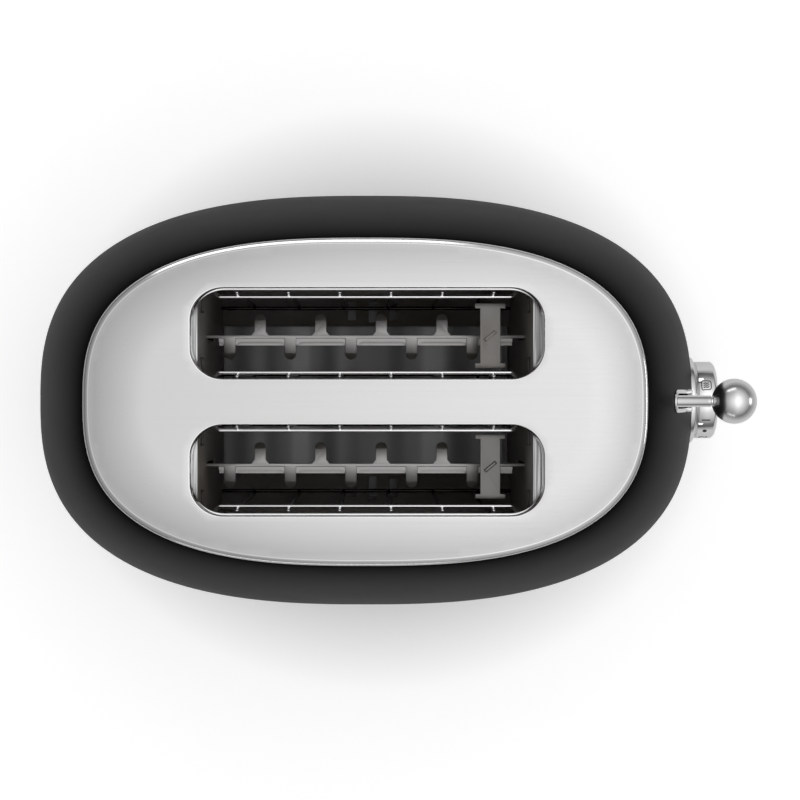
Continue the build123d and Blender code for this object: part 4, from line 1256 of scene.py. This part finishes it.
# Pressed ledge and flange along one side of a rack's web, filleted into the tabs on that side
ledgeShape = {
    "half": 0.0655, "step": 0.0005, "web": 0.0007, "ledge": 0.0022, "atTab": 0.0036, "flange": 0.0038,
    "firstTab": -0.0601, "tabPitch": 0.02704, "tabHalf": 0.0030, "fillet": 0.0022,
    "ledgeTop": 0.1344, "flangeTop": 0.1309, "sheet": 0.0006,
}


def ledgeReach(x):
    shape = ledgeShape
    apart = abs((x - shape["firstTab"] + shape["tabPitch"] / 2) % shape["tabPitch"] - shape["tabPitch"] / 2)
    share = min(max((apart - shape["tabHalf"]) / shape["fillet"], 0.0), 1.0)
    return shape["ledge"] + (shape["atTab"] - shape["ledge"]) * (1 - sqrt(share * (2 - share)))


def makeLedge(centre):
    shape = ledgeShape
    strips = []
    for top in (shape["ledgeTop"], shape["flangeTop"]):
        rings = []
        for x in np.arange(-shape["half"], shape["half"] + 1e-9, shape["step"]):
            reach = ledgeReach(x) if top == shape["ledgeTop"] else shape["flange"]
            rings.append([(middleX + x, centre - off, top - drop) for off, drop in (
                (shape["web"], 0.0), (reach, 0.0), (reach, shape["sheet"]), (shape["web"], shape["sheet"]))])
        strips.append(ringObject("rackLedge", rings, capped=True, smooth=False))
    return strips


for node, (name, body, slot, width) in easedPieces.items():
    piece = ease(node, name, body, slot, width)
    if name.startswith("rack"):
        joinPieces(piece, makeLedge(slotCentres[0 if name == "rackLeft" else 1]))
    if name.startswith("spreader"):
        piece.data.materials[0] = materials["spreaderSteel"]
print("pressed pieces eased")

# Camera: straight above, a little off the case's middle, at the photograph's scale
view = {"overX": 0.0024, "overY": 0.0062, "height": 1.111, "lens": 98.49, "sensor": 36.0,
        "middlePixel": (371.0, 387.0), "picture": 800}
camera = placeObject("camera", bpy.data.cameras.new("camera"))
camera.data.lens = view["lens"]
camera.data.sensor_width = view["sensor"]
camera.data.shift_x = (view["picture"] / 2 - view["middlePixel"][0]) / view["picture"]
camera.data.shift_y = (view["middlePixel"][1] - view["picture"] / 2) / view["picture"]
camera.location = (middleX + view["overX"], view["overY"], view["height"])
scene.camera = camera

# Floor: pale, white to the camera where no shadow lies, dimmer in mirrors, with a painted shadow round the
# case
floorShape = {
    "size": 6.0, "colour": 0.84, "far": 0.42, "fadeFrom": 0.3, "fadeTo": 0.8, "glow": 0.47, "farGlow": 0.24,
    # Painted shadow: an oval of these half-sizes round the case, where the glow falls to the shaded share
    "mirrored": 0.12, "shadowX": 0.13, "shadowY": 0.1125, "shadowFrom": 0.86, "shadowTo": 1.32,
    "shaded": 0.28,
}


def describeFloor(tree, shader):
    shape = floorShape
    place = tree.add("ShaderNodeTexCoord", output="Object")
    away = tree.add("ShaderNodeVectorMath", {"operation": "LENGTH"}, {0: place}, output="Value")
    fade = tree.spread(away, 1.0, 0.0, shape["fadeFrom"], shape["fadeTo"])
    paper = tree.mottled(tree.noise(3, 2), shape["colour"], 0.99, 1.0)
    setShader(tree, shader, colour=tree.mixColour(fade, grey(shape["far"]), paper), rough=0.9, specular=0.1)
    # Beside the case the paper's glow is dimmed in an oval. This is a painted shadow that deepens the case's
    # real shadow, which the glow would otherwise wash out
    apart = tree.places()
    sideways = apart.out(0) / shape["shadowX"]
    across = apart.out(1) / shape["shadowY"]
    beside = (sideways * sideways + across * across) ** 0.5
    clear = tree.spread(beside, shape["shaded"], 1.0, shape["shadowFrom"], shape["shadowTo"])
    path = tree.add("ShaderNodeLightPath")
    seen = path.out("Is Camera Ray")
    mirrored = (path.out("Is Glossy Ray") + path.out("Is Transmission Ray")) * shape["mirrored"]
    strength = (seen + mirrored).math("MINIMUM", 1.0) * clear * shape["glow"]
    strength = strength + seen * (1 - fade) * shape["farGlow"]
    glow = tree.add("ShaderNodeEmission", {}, {"Color": (1, 1, 1, 1), "Strength": strength})
    both = tree.add("ShaderNodeAddShader")
    tree.link(Signal(tree, shader), both.node, 0)
    tree.link(glow, both.node, 1)
    tree.link(both, tree.tree.nodes["Material Output"], "Surface")


size = floorShape["size"]
corners = [(-size, -size, 0), (size, -size, 0), (size, size, 0), (-size, size, 0)]
floor = makeObject("floor", corners, [(0, 1, 2, 3)], smooth=False)
floor.data.materials.append(makeMaterial("floorPaper", describeFloor))

# Soft boxes: place, width, height, power; each is aimed at the case and ends short of what the dial mirrors
lamps = {
    "rear": ((-0.33, 1.5, 0.85), 1.16, 0.3, 1.8),
    "front": ((-0.29, -1.7, 0.5), 1.04, 0.2, 0.95),
    "right": ((1.5, 0.0, 0.35), 0.5, 0.25, 1.2),
}
target = Vector((middleX, 0, 0.12))
for name, (place, width, height, power) in lamps.items():
    light = bpy.data.lights.new(name, "AREA")
    light.shape = "RECTANGLE"
    light.size = width
    light.size_y = height
    light.energy = power
    lamp = placeObject(name, light)
    lamp.location = place
    lamp.rotation_euler = (target - Vector(place)).to_track_quat("-Z", "Y").to_euler()

# Studio: brightest overhead, dark at its walls, a little brighter on the lever's side
studio = {
    "strength": 1.32, "slant": 0.22, "slantReach": 0.16,
    "levels": ((0.0, 0.10), (0.14, 0.09), (0.24, 0.15), (0.38, 0.26), (0.5, 0.333), (0.77, 0.517),
               (0.82, 0.625), (0.94, 0.833), (1.0, 1.0)),
}
world = bpy.data.worlds.new("studio")
scene.world = world
world.use_nodes = True
tree = Tree(world.node_tree)
way = tree.add("ShaderNodeTexCoord", output="Generated")
apart = tree.add("ShaderNodeSeparateXYZ", {}, {0: way})
stops = [(place, grey(level)) for place, level in studio["levels"]]
sky = tree.add("ShaderNodeValToRGB", {"stops": stops}, {0: apart.out(2)})
slant = tree.spread(apart.out(0), 1 - studio["slant"], 1 + studio["slant"],
                    -studio["slantReach"], studio["slantReach"])
background = world.node_tree.nodes["Background"]
tree.link(sky, background, "Color")
tree.link(slant * studio["strength"], background, "Strength")
# The camera sees a white backdrop; the toaster is lit by and mirrors the studio
backdrop = tree.add("ShaderNodeBackground", {}, {"Color": (1, 1, 1, 1), "Strength": 1.0})
shown = tree.add("ShaderNodeMixShader", {}, {0: tree.add("ShaderNodeLightPath", output="Is Camera Ray")})
tree.link(Signal(tree, background), shown.node, 1)
tree.link(backdrop, shown.node, 2)
tree.link(shown, world.node_tree.nodes["World Output"], "Surface")
scene.view_settings.view_transform = "Standard"
print("camera, floor and lamps made")
